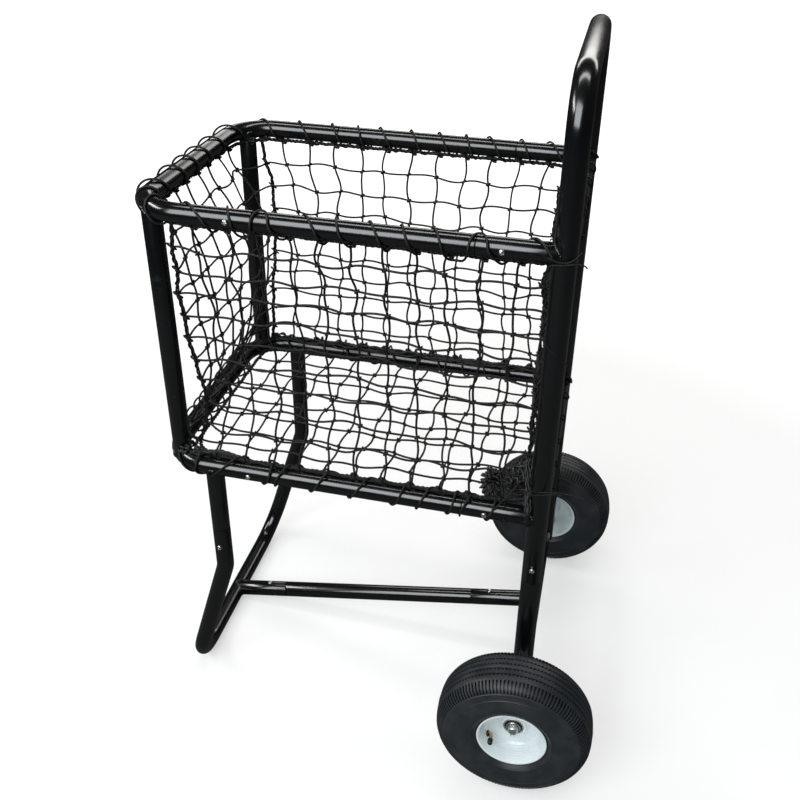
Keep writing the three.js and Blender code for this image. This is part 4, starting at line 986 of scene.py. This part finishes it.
# Lacing
# One black cord laces the net's upper rope to the top rails and the rear crossbar, and a second
# one laces the lower ropes to the bottom ring. Each goes once round the frame and is knotted off.
LACING_RADIUS = 1.8
LACING_HUG = TUBE_RADIUS + LACING_RADIUS + 0.9
FRONT_SLACK = 3.8
FAR_SLACK = 1.6
LEAST_SLACK = 0.2
LACING_DIP = 7.5
LACING_STEPS = 28


def slack_at(distance):
    """How far the cord stands off the rail at its slackest, which is on the end rail."""
    if NEAR_RUN + 90 < distance < FAR_START - 75:
        return FRONT_SLACK
    return FAR_SLACK if distance > FAR_START + 40 else LEAST_SLACK


def lacing_line(anchors, height, dip_turns):
    """The cord's line through its anchors, each a distance along the rails and a count of turns.

    A whole count is on top of the rail, a quarter outside, a half below, three quarters inside.
    """
    points = []
    for (from_at, from_turn), (to_at, to_turn) in zip(anchors, anchors[1:]):
        steps = max(3, round(abs(to_turn - from_turn) * LACING_STEPS), round(abs(to_at - from_at) / 4))
        for k in range(1 if points else 0, steps + 1):
            share = k / steps
            turn_at = from_turn + (to_turn - from_turn) * share
            at = from_at + (to_at - from_at) * share
            centre, out = rail_place(at)
            angle = 2 * math.pi * turn_at
            reach = LACING_HUG + slack_at(at) * max(0.0, math.cos(angle - 0.9)) ** 2
            for dip in dip_turns:
                reach += LACING_DIP * max(0.0, math.cos(angle - 2 * math.pi * dip)) ** 6
            over = np.array([0, 0, height + reach * math.cos(angle)])
            points.append(centre + out * reach * math.sin(angle) + over)
    return resampled(smoothed(points, 4), 3)


def bight(middle, reach, crest, way):
    """Anchors of a round bight, where the cord turns back over or under the rail."""
    return [
        (middle - reach * math.cos(t), crest + way * 0.25 * (1 - math.sin(t)))
        for t in np.linspace(0, math.pi, 11)
    ]


def outer_turns(crossings, first):
    """Anchors for plain turns: the cord crosses the rail's outer face at each of these distances."""
    return [(at, first - k) for k, at in enumerate(crossings)]


def spread(low, high, count):
    gap = (high - low) / count
    return [low + gap * (k + 0.5) + chance.uniform(-0.18, 0.18) * gap for k in range(count)]


def far_and_rear(far, turn):
    """Anchors along the far rail, round the far rear post and along the rear crossbar."""
    anchors = outer_turns(spread(*far, 10), turn)
    anchors += [(REAR_START - 12, turn - 10), (REAR_START + REAR_TURN + 12, turn - 10)]
    return anchors + outer_turns(spread(rear_at(375), rear_at(40), 5), turn - 11)


top_anchors = [(near_at(607), 7.25)] + bight(near_at(508), 13, 6, 1) + bight(near_at(477), 18, 6.5, -1)
top_anchors += [(near_at(x), turn) for x, turn in ((412, 5.25), (372, 4.25), (317, 3.25), (283, 2.25))]
top_anchors += bight(near_at(202), 13, 1, 1) + bight(near_at(175), 14, 1.5, -1) + [(near_at(118), 0.25)]
top_anchors += [(NEAR_RUN + 26, -0.45), (NEAR_RUN + 38, -0.75), (NEAR_RUN + 50, -1.05)]
top_anchors += outer_turns([NEAR_RUN + 82, NEAR_RUN + 97], -1.75)
top_anchors += outer_turns(spread(front_at(100), front_at(350), 5), -3.75) + [(FAR_START - 55, -8.5)]
top_anchors += far_and_rear((far_at(80), far_at(575)), -9.75)
bottom_anchors = [(near_at(x), turn) for x, turn in (
    (572, 0.25), (550, 1.25), (503, 2.25), (488, 3.25), (436, 4.25), (402, 5.25), (330, 6.25),
    (266, 7.25), (197, 8.25), (187, 9.25), (127, 10), (88, 10.33), (80, 10.45), (72, 10.5),
    (64, 10.45), (61, 10.3), (64, 10),
)]
bottom_anchors += [(NEAR_RUN + 20, 9.4)] + outer_turns(spread(front_at(70), front_at(350), 9), 8.25)
bottom_anchors += [(FAR_START - 55, -0.5)] + far_and_rear((far_at(110), far_at(575)), -1.75)


def cord_piece(name, line):
    """A lacing cord along its line."""
    line = to_frame(line)
    piece = strands_piece(name, [strand(line, LACING_RADIUS / 1000, 7)], TWINE_FINISH, f"net_{name}")


cord_piece("lacing_top", lacing_line(top_anchors, TOP_RAIL_HEIGHT, [0.5]))
cord_piece("lacing_bottom", lacing_line(bottom_anchors, BOTTOM_RAIL_HEIGHT, [0, 0.75]))


# Loose ends
# Cut ends of the net's cords that nobody tucked in, all by the near rear post: two at the end of the
# top rail, a thin one across the post, two over the wheel's leg and a twist by the surplus net.
LOOSE_ENDS = [
    (1.1, [(600, -16, 950), (612, -21, 946), (624, -21, 944), (634, -20, 947), (643, -19, 963)]),
    (1.1, [(606, -17, 940), (622, -22, 943), (636, -20, 946), (645, -18, 950), (652, -17, 941)]),
    (0.9, [(600, 4, 966), (602, -8, 975), (604, -19, 980), (610, -20, 969), (616, -18, 956)]),
    (0.6, [(600, -8, 826), (608, -17, 819), (620, -18.5, 809), (632, -16, 797), (644, -8, 785)]),
    (1.1, [(606, -8, 560), (622, -20, 566), (640, -22, 576), (660, -21, 579), (690, -20, 568)]),
    (1.0, [(604, -10, 554), (622, -21, 562), (638, -21, 572), (655, -20, 570)]),
    (1.2, [(556, 12, 520), (540, 8, 519), (528, 4, 524), (517, 2, 530), (526, 4, 521), (542, 9, 524)]),
    (1.3, [(590, 14, 560), (578, 4, 540), (566, -4, 532), (556, -17, 524), (548, -19, 506), (541, -17, 498)]),
]
loose_ends = [twine(resampled(curve(points, 24), 2.5), radius, 6) for radius, points in LOOSE_ENDS]
strands_piece("loose_ends", loose_ends, TWINE_FINISH)


# Surplus net
# The spare end of the net is gathered and tied round in the near rear corner. In front of the tie
# stands a tuft of cut meshes, and behind it the gathered meshes fan out to the corner rope.
TIE_PLACE = np.array([552.0, 44.0, 533.0])
TIE_TOWARDS = np.array([572.0, 46.0, 524.0])
TIE_COIL = 6.6
TIE_CORD = 1.4
TUFT_PLACE = np.array([541.0, 39.0, 528.0])
TUFT_REACH = np.array([19.0, 17.0, 29.0])
TUFT_LOOPS = 130
BUNCH_STRANDS = 120
BUNCH_RINGS = 7
HANGING_STRANDS = 12
BUNCH_TWINE = 1.35


def bunch_place(share, turn, depth):
    """A place in the gathered meshes: from the tie to the corner, and round the bunch."""
    middle = curve([TIE_PLACE, (574, 46, 521), (602, 40, 546)], 21)[min(20, round(share * 20))]
    swell = 5 + 27 * math.sin(min(1.0, share * 1.1) * math.pi / 2) ** 1.5
    across = math.cos(turn) * swell * depth * 0.72
    over = math.sin(turn) * swell * depth * (1.25 if math.sin(turn) > 0 else 0.85)
    return middle + np.array([-0.25 * over, across, over])


bundle = []
for k in range(TUFT_LOOPS):
    height = 1 - 2 * (k + 0.5) / TUFT_LOOPS
    turn = k * math.pi * (3 - math.sqrt(5))
    ring = math.sqrt(1 - height * height)
    away = np.array([ring * math.cos(turn), ring * math.sin(turn), height])
    if away[0] > 0.75:
        continue
    reach = chance.uniform(0.82, 1.04)
    tip = TUFT_PLACE + away * TUFT_REACH * reach
    aside = unit(np.cross(away, (0.2, 0.5, 0.8))) * chance.uniform(2.8, 4.6)
    droop = np.array([chance.uniform(0, 5), chance.uniform(-3, 3), -chance.uniform(0, 6)])
    middle = TUFT_PLACE + away * 9 + np.array([-2, 0, 5])
    loop = curve([TIE_PLACE, middle - aside, tip + droop - aside, tip + droop + away * 2], 8)
    back = curve([tip + droop + away * 2, tip + droop + aside, middle + aside, TIE_PLACE], 8)
    bundle.append(twine(np.concatenate([loop, back[1:]]), BUNCH_TWINE))
for k in range(BUNCH_STRANDS):
    turn = 2 * math.pi * k / BUNCH_STRANDS + chance.uniform(-0.1, 0.1)
    depth = chance.choice((0.55, 0.8, 1.0)) * chance.uniform(0.88, 1.05)
    line = []
    for share in np.linspace(0, 1, 11):
        swing = turn + 0.35 * math.sin(share * 6 + k * 1.3) * share
        line.append(bunch_place(share, swing, depth * (1 + 0.1 * math.sin(share * 17 + k * 2.3))))
    bundle.append(twine(smoothed(resampled(line, 4)), BUNCH_TWINE))
for k in range(BUNCH_RINGS):
    share = 0.3 + 0.6 * k / (BUNCH_RINGS - 1)
    line = []
    for turn in np.linspace(0, 2 * math.pi * 0.97, 40):
        wave = 1 + 0.12 * math.sin(turn * 7 + k)
        slide = 0.06 * math.sin(turn * 5 + k * 2)
        line.append(bunch_place(min(1, share + slide), turn + k, wave))
    bundle.append(twine(smoothed(line), BUNCH_TWINE))
tie_run = unit(TIE_TOWARDS - TUFT_PLACE)
tie_side = unit(np.cross(tie_run, UPWARD))
tie_over = np.cross(tie_run, tie_side)
tie = [
    TIE_PLACE + tie_run * 1.3 * t
    + tie_side * math.cos(2.6 * t) * TIE_COIL + tie_over * math.sin(2.6 * t) * TIE_COIL
    for t in np.linspace(-3.2, 3.2, 70)
]
bundle.append(twine(tie, TIE_CORD, 6))
for k in range(HANGING_STRANDS):
    aside, ahead = math.cos(k * 1.9) * 6, math.sin(k * 1.9) * 5
    line = [
        (601 + aside, 24 + ahead, 600), (602 + aside, 14, 566), (609 + aside * 0.7, -12 + ahead, 548),
        (606 + aside, -20 + ahead * 0.4, 520), (606 - aside * 0.5, -14, 500 - ahead),
    ]
    line = resampled(curve(line, 20), 4)
    line[:, 0] += np.sin(np.arange(len(line)) * 0.9 + k) * 1.6
    bundle.append(twine(line, BUNCH_TWINE))
strands_piece("net_bundle", bundle, GATHERED_FINISH, "surplus_net_bundle")


# Screws
# Fourteen bright pan-head screws hold the tubes' joints: one through each end of a side rail on its
# outer face, one at each handle and stand joint, and two on top of the brace.
SCREW_HEAD_RADIUS = 4.5
SCREW_HEAD_RISE = 3
SCREW_SHANK_RADIUS = 2
SCREW_SHANK = 6
SCREW_SETBACK = 36
SCREW_ROWS = [(0.9, 0), (1, 0.3), (1, 1.1), (0.93, 1.9), (0.75, 2.6), (0.45, 2.95)]
CROSS_WIDTH = 0.9
CROSS_DEPTH = 1.1
CROSS_ABOVE = 2.6
HANDLE_SCREW_RISE = 30


def bright_steel(name, color, roughness):
    """Zinc-bright steel: fine turning lines and slight dulling."""
    finish = Finish(name)
    cloud = finish.place.noise(220, 3)
    return finish.set(
        Base_Color=cloud.blend(color, tuple(c * 0.8 for c in color)),
        Metallic=1.0,
        Roughness=cloud * 0.14 + roughness,
    )


SCREW_STEEL = bright_steel("bright zinc", (0.78, 0.78, 0.76), 0.22)


def lathe(rows, sides, ends=False):
    """A piece turned about the Y axis from rows of radius and place, in millimetres."""
    piece = start_ring(Vector((0, rows[0][1] / 1000, 0)), Vector((0, 1, 0)), rows[0][0] / 1000, sides)
    if ends:
        bpy.ops.mesh.edge_face_add()
        bpy.ops.mesh.select_all(action="SELECT")
    for (radius, at), (next_radius, next_at) in zip(rows, rows[1:]):
        extrude((0, (next_at - at) / 1000, 0))
        share = next_radius / radius
        bpy.ops.transform.resize(value=(share, 1, share), center_override=(0, next_at / 1000, 0))
    bpy.ops.mesh.select_all(action="SELECT")
    bpy.ops.mesh.remove_doubles(threshold=2e-5)
    bpy.ops.mesh.normals_make_consistent(inside=False)
    bpy.ops.object.mode_set(mode="OBJECT")
    bpy.ops.object.transform_apply(location=True, rotation=True, scale=True)
    return piece


def turned(rows, sides, angle, ends=False):
    """A lathed piece that is smooth but for its edges of more than this many degrees."""
    piece = lathe(rows, sides, ends)
    smooth_by(angle)
    return piece


def select_faces(piece, test):
    """In edit mode, select the faces whose middle and normal pass the test."""
    bpy.ops.object.mode_set(mode="EDIT")
    bpy.ops.mesh.select_mode(type="FACE")
    bpy.ops.mesh.select_all(action="DESELECT")
    bpy.ops.object.mode_set(mode="OBJECT")
    chosen = [test(p.center * 1000, p.normal) for p in piece.data.polygons]
    piece.data.polygons.foreach_set("select", chosen)
    bpy.ops.object.mode_set(mode="EDIT")


def radius_of(place):
    return math.hypot(place.x, place.z)


def sector_of(place, count):
    """Which of so many even sectors about the Y axis a place lies in."""
    return math.floor(math.atan2(place.z, place.x) * count / (2 * math.pi))


def in_cross(centre, normal):
    """Whether a face of a screw's crown lies in its cross recess."""
    angle = math.atan2(centre.z, centre.x) % (math.pi / 2)
    on_arm = min(angle, math.pi / 2 - angle) < math.radians(8)
    return centre.y > CROSS_ABOVE and (radius_of(centre) < 0.5 or on_arm)


def turn_to(direction):
    """The turn from the Y axis to a direction."""
    return Vector((0, 1, 0)).rotation_difference(Vector(direction)).to_matrix().to_4x4()


def put_screw(model, name, place, direction):
    """A copy of the screw with its own mesh, pointing in a direction and rolled at random."""
    mesh = model.data.copy()
    roll = Matrix.Rotation(chance.uniform(0, 1.5), 4, "Y")
    mesh.transform(Matrix.Translation(place) @ turn_to(direction) @ roll)
    new_piece(mesh, name, [name], SCREW_STEEL, "bright_steel")


screw_rows = [(SCREW_SHANK_RADIUS, -SCREW_SHANK), (SCREW_SHANK_RADIUS, 0)]
screw_rows += [(SCREW_HEAD_RADIUS * r, at) for r, at in SCREW_ROWS] + [(CROSS_WIDTH, SCREW_HEAD_RISE)]
screw = lathe(screw_rows, 24, True)
select_faces(screw, in_cross)
extrude((0, -CROSS_DEPTH / 1000, 0))
bpy.ops.object.mode_set(mode="OBJECT")
smooth_by(35)
rail_screws = (("front", FRONT_SEAM - SCREW_SETBACK), ("rear", REAR_SEAM - SEAM_GAP + SCREW_SETBACK))
joints = [(f"{end}_{level}", x, TUBE_RADIUS, height) for level, height in LEVELS for end, x in rail_screws]
joints += [
    ("handle", BASKET_LENGTH, HANDLE_RADIUS, HANDLE_SEAM_HEIGHT + HANDLE_SCREW_RISE),
    ("stand", STAND_SETBACK, TUBE_RADIUS, STAND_SEAM_HEIGHT - SCREW_SETBACK),
]
for side, y, way in SIDES:
    for joint, x, radius, height in joints:
        put_screw(screw, f"screw_{joint}_{side}", cart(x, y + radius * way, height), (0, way, 0))
for end, at in (("front", BRACE_FRONT_SEAM - SCREW_SETBACK), ("rear", brace_seam + SCREW_SETBACK)):
    put_screw(screw, f"screw_brace_{end}", on_brace(at) + brace_up * TUBE_RADIUS / 1000, brace_up)
bpy.data.objects.remove(screw)


# Wheels
# Two pneumatic wheels of 260 mm by 90 mm turn on one axle. Each is modelled once, outer side towards
# +Y, and put on the far end as it is and on the near end turned half round. First the moulded black
# tyre: sawtooth notches along four grooves, and slots cut across both shoulders.
WHEEL_OFFSET = 81
WHEEL_TEETH = 128
SLOT_DEPTH = 3.4
NOTCH_DEPTH = 2.6
SLOTS_WITHIN = (112.9, 127.3)
SLOTS_FROM_MIDDLE = 25.5
NOTCHES_OUTSIDE = 127.5
NOTCHES = ((15.7, 17.9), (5.1, 7.3))
GROOVE_FLOOR = 128.2
GROOVES_WITHIN = 15.6
RUBBER_CLEAN = (0.0150, 0.0200, 0.0235)
RUBBER_BLOOM = (0.036, 0.039, 0.040)
# Near-black rubber in the slots, notches and groove floors, as painted shade.
RUBBER_PAINTED_SHADE_IN_CUTS = (0.001, 0.0012, 0.0014)
TYRE_HALF_ROWS = [
    (54.6, 28.5), (55.8, 33.2), (57.2, 35.8), (59.0, 36.8), (61.8, 38.6), (64.0, 41.4), (66.0, 42.6),
    (67.2, 43.7), (68.6, 43.9), (69.4, 43.4), (76, 44.5), (84.5, 45), (93, 44.9), (97.4, 44.6),
    (98.0, 45.0), (99.2, 44.9), (99.8, 44.2), (105, 43.6), (109.6, 42.9), (110.2, 43.5), (111.8, 43.2),
    (112.4, 42.2), (113.4, 41.8), (117.4, 39.9), (121.2, 36.6), (124.4, 32.2), (126.4, 28.2),
    (127.2, 26.0), (127.7, 25.0), (128.5, 20.5), (128.9, 17.9), (129.1, 15.7), (127.2, 15.4),
    (127.2, 14.4), (129.2, 14.1), (129.5, 10), (129.6, 7.3), (129.6, 5.1), (127.8, 4.9), (127.8, 4.0),
    (129.6, 3.8), (129.6, 1.0), (130, 0.5),
]
TYRE_INSIDE = [(122.5, 15), (118, 27), (109, 34), (95, 37.4), (78, 37), (66, 33.5), (57.5, 28), (54.6, 24)]


def tyre_rubber():
    """Black rubber: dusty bloom in patches, a fine moulded grain, and painted shade: near black wherever the
    depth attribute marks a slot, notch or groove floor.
    """
    finish = Finish("black tyre rubber")
    bloom = finish.place.noise(24, 5, 0.6).between(0.42, 0.75)
    grain = finish.place.noise(700, 2)
    depth = finish.place.node("ShaderNodeAttribute", {"attribute_name": "depth"}, {}, "Fac")
    return finish.set(
        Base_Color=depth.blend(bloom.blend(RUBBER_CLEAN, RUBBER_BLOOM), RUBBER_PAINTED_SHADE_IN_CUTS),
        Roughness=bloom * 0.14 + 0.4,
        Normal=grain.bump(0.12, 0.0004),
    )


def both_wheels(model, name, material, slot, node="", turns=True):
    """Put a wheel's model on both ends of the axle, with its own mesh on each.

    What turns rides on the wheel, and the rest stays with the frame.
    """
    for side, y, way in SIDES:
        mesh = model.data.copy()
        place = Matrix.Translation(cart(BASKET_LENGTH, y + WHEEL_OFFSET * way, AXLE_HEIGHT))
        mesh.transform(place @ Matrix.Rotation(math.pi if way < 0 else 0, 4, "Z"))
        nodes = [f"{side}_wheel_{node}"] if node else []
        new_piece(mesh, f"{side}_{name}", nodes, material, slot, f"{side}_wheel" if turns else "frame")
    bpy.data.objects.remove(model)


def mirrored_rows(rows):
    return [(r, -at) for r, at in reversed(rows)]


def in_slot(centre, normal):
    """Whether a tyre's face is cut into a slot of the shoulder: every second one round the wheel."""
    low, high = SLOTS_WITHIN
    outer = abs(centre.y) > SLOTS_FROM_MIDDLE and normal.y * centre.y > 0
    return low < radius_of(centre) < high and outer and sector_of(centre, WHEEL_TEETH * 2) % 2 == 1


def in_notch(centre, normal):
    """Whether a tyre's face is cut into a notch beside a groove."""
    beside = any(low < abs(centre.y) < high for low, high in NOTCHES)
    return radius_of(centre) > NOTCHES_OUTSIDE and beside and sector_of(centre, WHEEL_TEETH * 2) % 2 == 1


def sink(piece, test, depth):
    """Sink the chosen faces along their normals."""
    select_faces(piece, test)
    bpy.ops.mesh.extrude_region_shrink_fatten(TRANSFORM_OT_shrink_fatten={"value": -depth / 1000})
    bpy.ops.object.mode_set(mode="OBJECT")


tyre_rows = TYRE_HALF_ROWS + mirrored_rows(TYRE_HALF_ROWS) + mirrored_rows(TYRE_INSIDE) + TYRE_INSIDE
tyre = lathe(tyre_rows + TYRE_HALF_ROWS[:1], WHEEL_TEETH * 2)
# The depth attribute marks the faces sunk into slots and notches, and the groove floors, where the rubber is
# painted dark as painted shade.
tyre.data.attributes.new("depth", "FLOAT", "POINT")
for test, depth in ((in_slot, SLOT_DEPTH), (in_notch, NOTCH_DEPTH)):
    sink(tyre, test, depth)
    painted_cut_shade = tyre.data.attributes["depth"].data
    for face in tyre.data.polygons:
        if face.select:
            for v in face.vertices:
                painted_cut_shade[v].value = 1.0
for v in tyre.data.vertices:
    if radius_of(v.co * 1000) < GROOVE_FLOOR and abs(v.co.y * 1000) < GROOVES_WITHIN:
        painted_cut_shade[v.index].value = 1.0
smooth_by(32)
both_wheels(tyre, "tyre", tyre_rubber(), "tyre_rubber", "tyre")


# Inner tubes and valves
# A ring of soft black rubber fills each tyre. Its brass valve comes through the rim's dish and bends
# outwards, with a knurled black plastic cap screwed on its end.
INNER_TUBE_MIDDLE = 87
INNER_TUBE_RADII = (30, 32)
VALVE_FOOT = 52
VALVE_RADIUS = 40
VALVE_PLANE = 15
VALVE_REACH = 31
VALVE_STEM_RADIUS = 2.9
VALVE_STEM_WALL = 1.6
VALVE_BEND_RADIUS = 7
VALVE_TURN = math.radians(30)
VALVE_COLLAR_ROWS = [(2.9, 45.2), (4.6, 45.2), (5.2, 46), (5.4, 48.4), (2.9, 48.6)]
VALVE_CAP_ROWS = [(3.3, 28.6), (4.3, 28.6), (4.5, 29), (4.5, 34.8), (4.2, 35.6), (3.4, 37.4), (2.6, 38)]
CAP_FLUTES = 14
FLUTES_ALONG = (29.1, 34.7)
FLUTE_DEPTH = 0.45


def plain_finish(name, color, worn, roughness, metallic=0.0):
    """An even finish with faint cloudy wear."""
    finish = Finish(name)
    wear = finish.place.noise(180, 4).between(0.4, 0.75)
    return finish.set(
        Base_Color=wear.blend(color, worn),
        Metallic=metallic,
        Roughness=wear * 0.15 + roughness,
    )


TUBE_RUBBER = plain_finish("soft tube rubber", (0.012,) * 3, (0.02,) * 3, 0.5)
BRASS = plain_finish("valve brass", (0.66, 0.50, 0.24), (0.42, 0.32, 0.16), 0.24, 1.0)
CAP_PLASTIC = plain_finish("black cap plastic", (0.008,) * 3, (0.016,) * 3, 0.35)

radius, half_width = INNER_TUBE_RADII
inner_tube = lathe([
    (INNER_TUBE_MIDDLE + radius * math.cos(turned_by), half_width * math.sin(turned_by))
    for turned_by in (2 * math.pi * k / 24 for k in range(25))
], 96)
bpy.ops.object.shade_smooth()
both_wheels(inner_tube, "inner_tube", TUBE_RUBBER, "tube_rubber", "inner_tube")

valve_out = Vector((math.cos(VALVE_TURN), 0, -math.sin(VALVE_TURN)))
valve_line = [
    (valve_out * out + Vector((0, along, 0))) / 1000
    for out, along in ((VALVE_FOOT, VALVE_PLANE), (VALVE_RADIUS, VALVE_PLANE), (VALVE_RADIUS, VALVE_REACH))
]
stem = bent_tube(valve_line, [VALVE_BEND_RADIUS], VALVE_STEM_RADIUS, VALVE_STEM_WALL)
bpy.ops.object.transform_apply(location=True, rotation=True, scale=True)
both_wheels(stem, "valve_stem", BRASS, "tube_rubber")

collar = turned(VALVE_COLLAR_ROWS, 24, 40)
collar.data.transform(Matrix.Translation((0, VALVE_PLANE / 1000, 0)) @ turn_to(valve_out))
both_wheels(collar, "valve_collar", TUBE_RUBBER, "tube_rubber")


def in_flute(centre, normal):
    """Whether a face of the cap's skirt is cut into a flute: one in four round the cap."""
    low, high = FLUTES_ALONG
    return low < centre.y < high and sector_of(centre, CAP_FLUTES * 4) % 4 == 0


cap = lathe(VALVE_CAP_ROWS, CAP_FLUTES * 4, True)
sink(cap, in_flute, FLUTE_DEPTH)
smooth_by(35)
cap.data.transform(Matrix.Translation(valve_out * VALVE_RADIUS / 1000))
both_wheels(cap, "valve_cap", CAP_PLASTIC, "cap_plastic", "valve_cap")


# Rims
# Each rim is pressed from sheet steel, spun to a rolled lip that holds the tyre's bead, with a deep
# dish down to the hub tube, where both bearings sit. Enamelled white all over.
RIM_ROWS = [
    (57.9, 37.4), (58, 38.4), (57.2, 39), (56.0, 39), (55.0, 38.4), (53.6, 36.0), (52.0, 32.0),
    (50.2, 26.0), (48.6, 20), (46.9, 14), (44.8, 9.0), (41.6, 5.8), (37.6, 4.0), (33, 3.2), (28, 3.0),
    (25, 3.3), (23.4, 4.4), (22.0, 6.4), (21.2, 9.8), (20.5, 11), (18.4, 11), (17.6, 10.4),
    (17.6, -46.4), (18.4, -47), (20.5, -47), (21.2, -40), (22.0, -6), (25, 0.6), (30, 0.4), (37, 1.2),
    (41.2, -0.4), (43.6, -5.0), (46.2, -14), (48.6, -22), (50.9, -29), (52.9, -34), (54.4, -37),
    (55.2, -38.4), (56.2, -39), (57.2, -39), (58, -38.4), (57.9, -37.4), (56.9, -36.8), (55.2, -34),
    (52.6, -28), (50.3, -22), (49.2, -14), (48.7, 0), (49.6, 14), (50.8, 22), (52.9, 28), (55.4, 34),
    (56.9, 36.8), (57.9, 37.4),
]
SPINNING_RIPPLES = 1500
ENAMEL_WHITE = (0.72, 0.79, 0.80)
ENAMEL_DUSTY = (0.61, 0.68, 0.69)


def white_enamel():
    """White enamel with a faint blue-green cast over spinning ripples, dusted in patches."""
    finish = Finish("white enamel")
    dust = finish.place.noise(30, 5, 0.6).between(0.45, 0.8)
    peel = finish.place.noise(500, 2)
    ripple = (finish.place.axis(1) * SPINNING_RIPPLES).math("SINE") * finish.place.noise(30, 2)
    return finish.set(
        Base_Color=dust.blend(ENAMEL_WHITE, ENAMEL_DUSTY),
        Roughness=dust * 0.2 + 0.2,
        Coat_Weight=0.2,
        Normal=(ripple + peel * 0.1).bump(0.4, 0.0009),
    )


both_wheels(turned(RIM_ROWS, 96, 40), "rim", white_enamel(), "white_paint", "rim")


# Bearings
# Two sealed ball bearings of 35 mm in each hub: ground outer and inner rings with a pressed shield
# let in between them on both faces.
HUB_OUTER_REACH = 11
HUB_INNER_REACH = 47
BEARING_WIDTH = 11
BEARING_HALF_ROWS = [
    (8.2, 5.0), (8.6, 5.4), (10.6, 5.4), (10.9, 5.0), (11.0, 3.6), (15.0, 3.6), (15.1, 5.0), (15.4, 5.4),
    (17.0, 5.4), (17.4, 5.0),
]
SEAL_ROWS = [(11.2, 3.7), (11.2, 4.4), (11.8, 4.7), (14.2, 4.7), (14.8, 4.4), (14.8, 3.7), (11.2, 3.7)]
BEARING_STEEL = bright_steel("ground bearing steel", (0.80, 0.81, 0.82), 0.42)

bearing_rows = BEARING_HALF_ROWS + mirrored_rows(BEARING_HALF_ROWS) + BEARING_HALF_ROWS[:1]
for end, middle in (
    ("outer", HUB_OUTER_REACH - BEARING_WIDTH / 2),
    ("inner", BEARING_WIDTH / 2 - HUB_INNER_REACH),
):
    bearing = turned([(r, at + middle) for r, at in bearing_rows], 64, 30)
    both_wheels(bearing, f"bearing_{end}", BEARING_STEEL, "bearing_steel", f"bearing_{end}")
    for face, way in (("out", 1), ("in", -1)):
        seal = turned([(r, middle + way * at) for r, at in SEAL_ROWS], 64, 30)
        both_wheels(seal, f"seal_{end}_{face}", TUBE_RUBBER, "tube_rubber")


# Axle, washers and split pins
# One bright 16 mm rod runs through the sleeve and both wheels. A washer and a split pin through the
# rod's end, its legs spread below, keep each wheel on.
AXLE_RADIUS = 8
AXLE_REACH = 22
AXLE_CHAMFER = 1.5
AXLE_CENTRE = 0.8
WASHER_ROWS = [
    (8.3, 11.5), (8.6, 11.3), (11.6, 11.3), (12, 11.7), (12, 12.9), (11.6, 13.3), (8.6, 13.3),
    (8.3, 13.1), (8.3, 11.5),
]
PIN_PLANE = (HUB_OUTER_REACH + 2.3 + AXLE_REACH) / 2
PIN_WIRE = 0.75
PIN_LEG = [(0.9, 9.5), (0.8, 4), (0.8, -4), (0.8, -9), (1.6, -12), (2.6, -15), (3.4, -17)]
PIN_EYE_HEIGHT = 12.6
PIN_EYE_RADIUS = 3.0
AXLE_STEEL = bright_steel("bright axle steel", (0.86, 0.87, 0.87), 0.38)

axle_half = BASKET_WIDTH / 2 + WHEEL_OFFSET + AXLE_REACH
axle_end = [(AXLE_RADIUS, axle_half - AXLE_CHAMFER)]
axle_end += [(AXLE_RADIUS - AXLE_CHAMFER, axle_half), (AXLE_CENTRE, axle_half)]
axle = turned(mirrored_rows(axle_end) + axle_end, 48, 30, True)
axle.location = cart(BASKET_LENGTH, BASKET_WIDTH / 2, AXLE_HEIGHT)
bpy.context.view_layer.objects.active = axle
axle.select_set(True)
finished(axle, "axle", "axle_rod", material=AXLE_STEEL, slot="bright_steel")

both_wheels(turned(WASHER_ROWS, 48, 30), "axle_washer", SCREW_STEEL, "bright_steel", "washer", False)

pin_eye = [
    (PIN_EYE_RADIUS * math.sin(a), PIN_EYE_HEIGHT - PIN_EYE_RADIUS * math.cos(a))
    for a in np.linspace(0.5, 2 * math.pi - 0.5, 17)
]
pin_line = list(reversed(PIN_LEG)) + pin_eye + [(-x, z) for x, z in PIN_LEG]
pin_line = resampled([(x, PIN_PLANE, z) for x, z in pin_line], 0.9)
pin_places, pin_faces, _ = strand(pin_line / 1000, PIN_WIRE / 1000, 8)
pin_mesh = bpy.data.meshes.new("split_pin")
pin_mesh.from_pydata(pin_places.tolist(), [], pin_faces)
pin_mesh.shade_smooth()
pin = bpy.data.objects.new("split_pin", pin_mesh)
both_wheels(pin, "split_pin", SCREW_STEEL, "bright_steel", "split_pin", False)
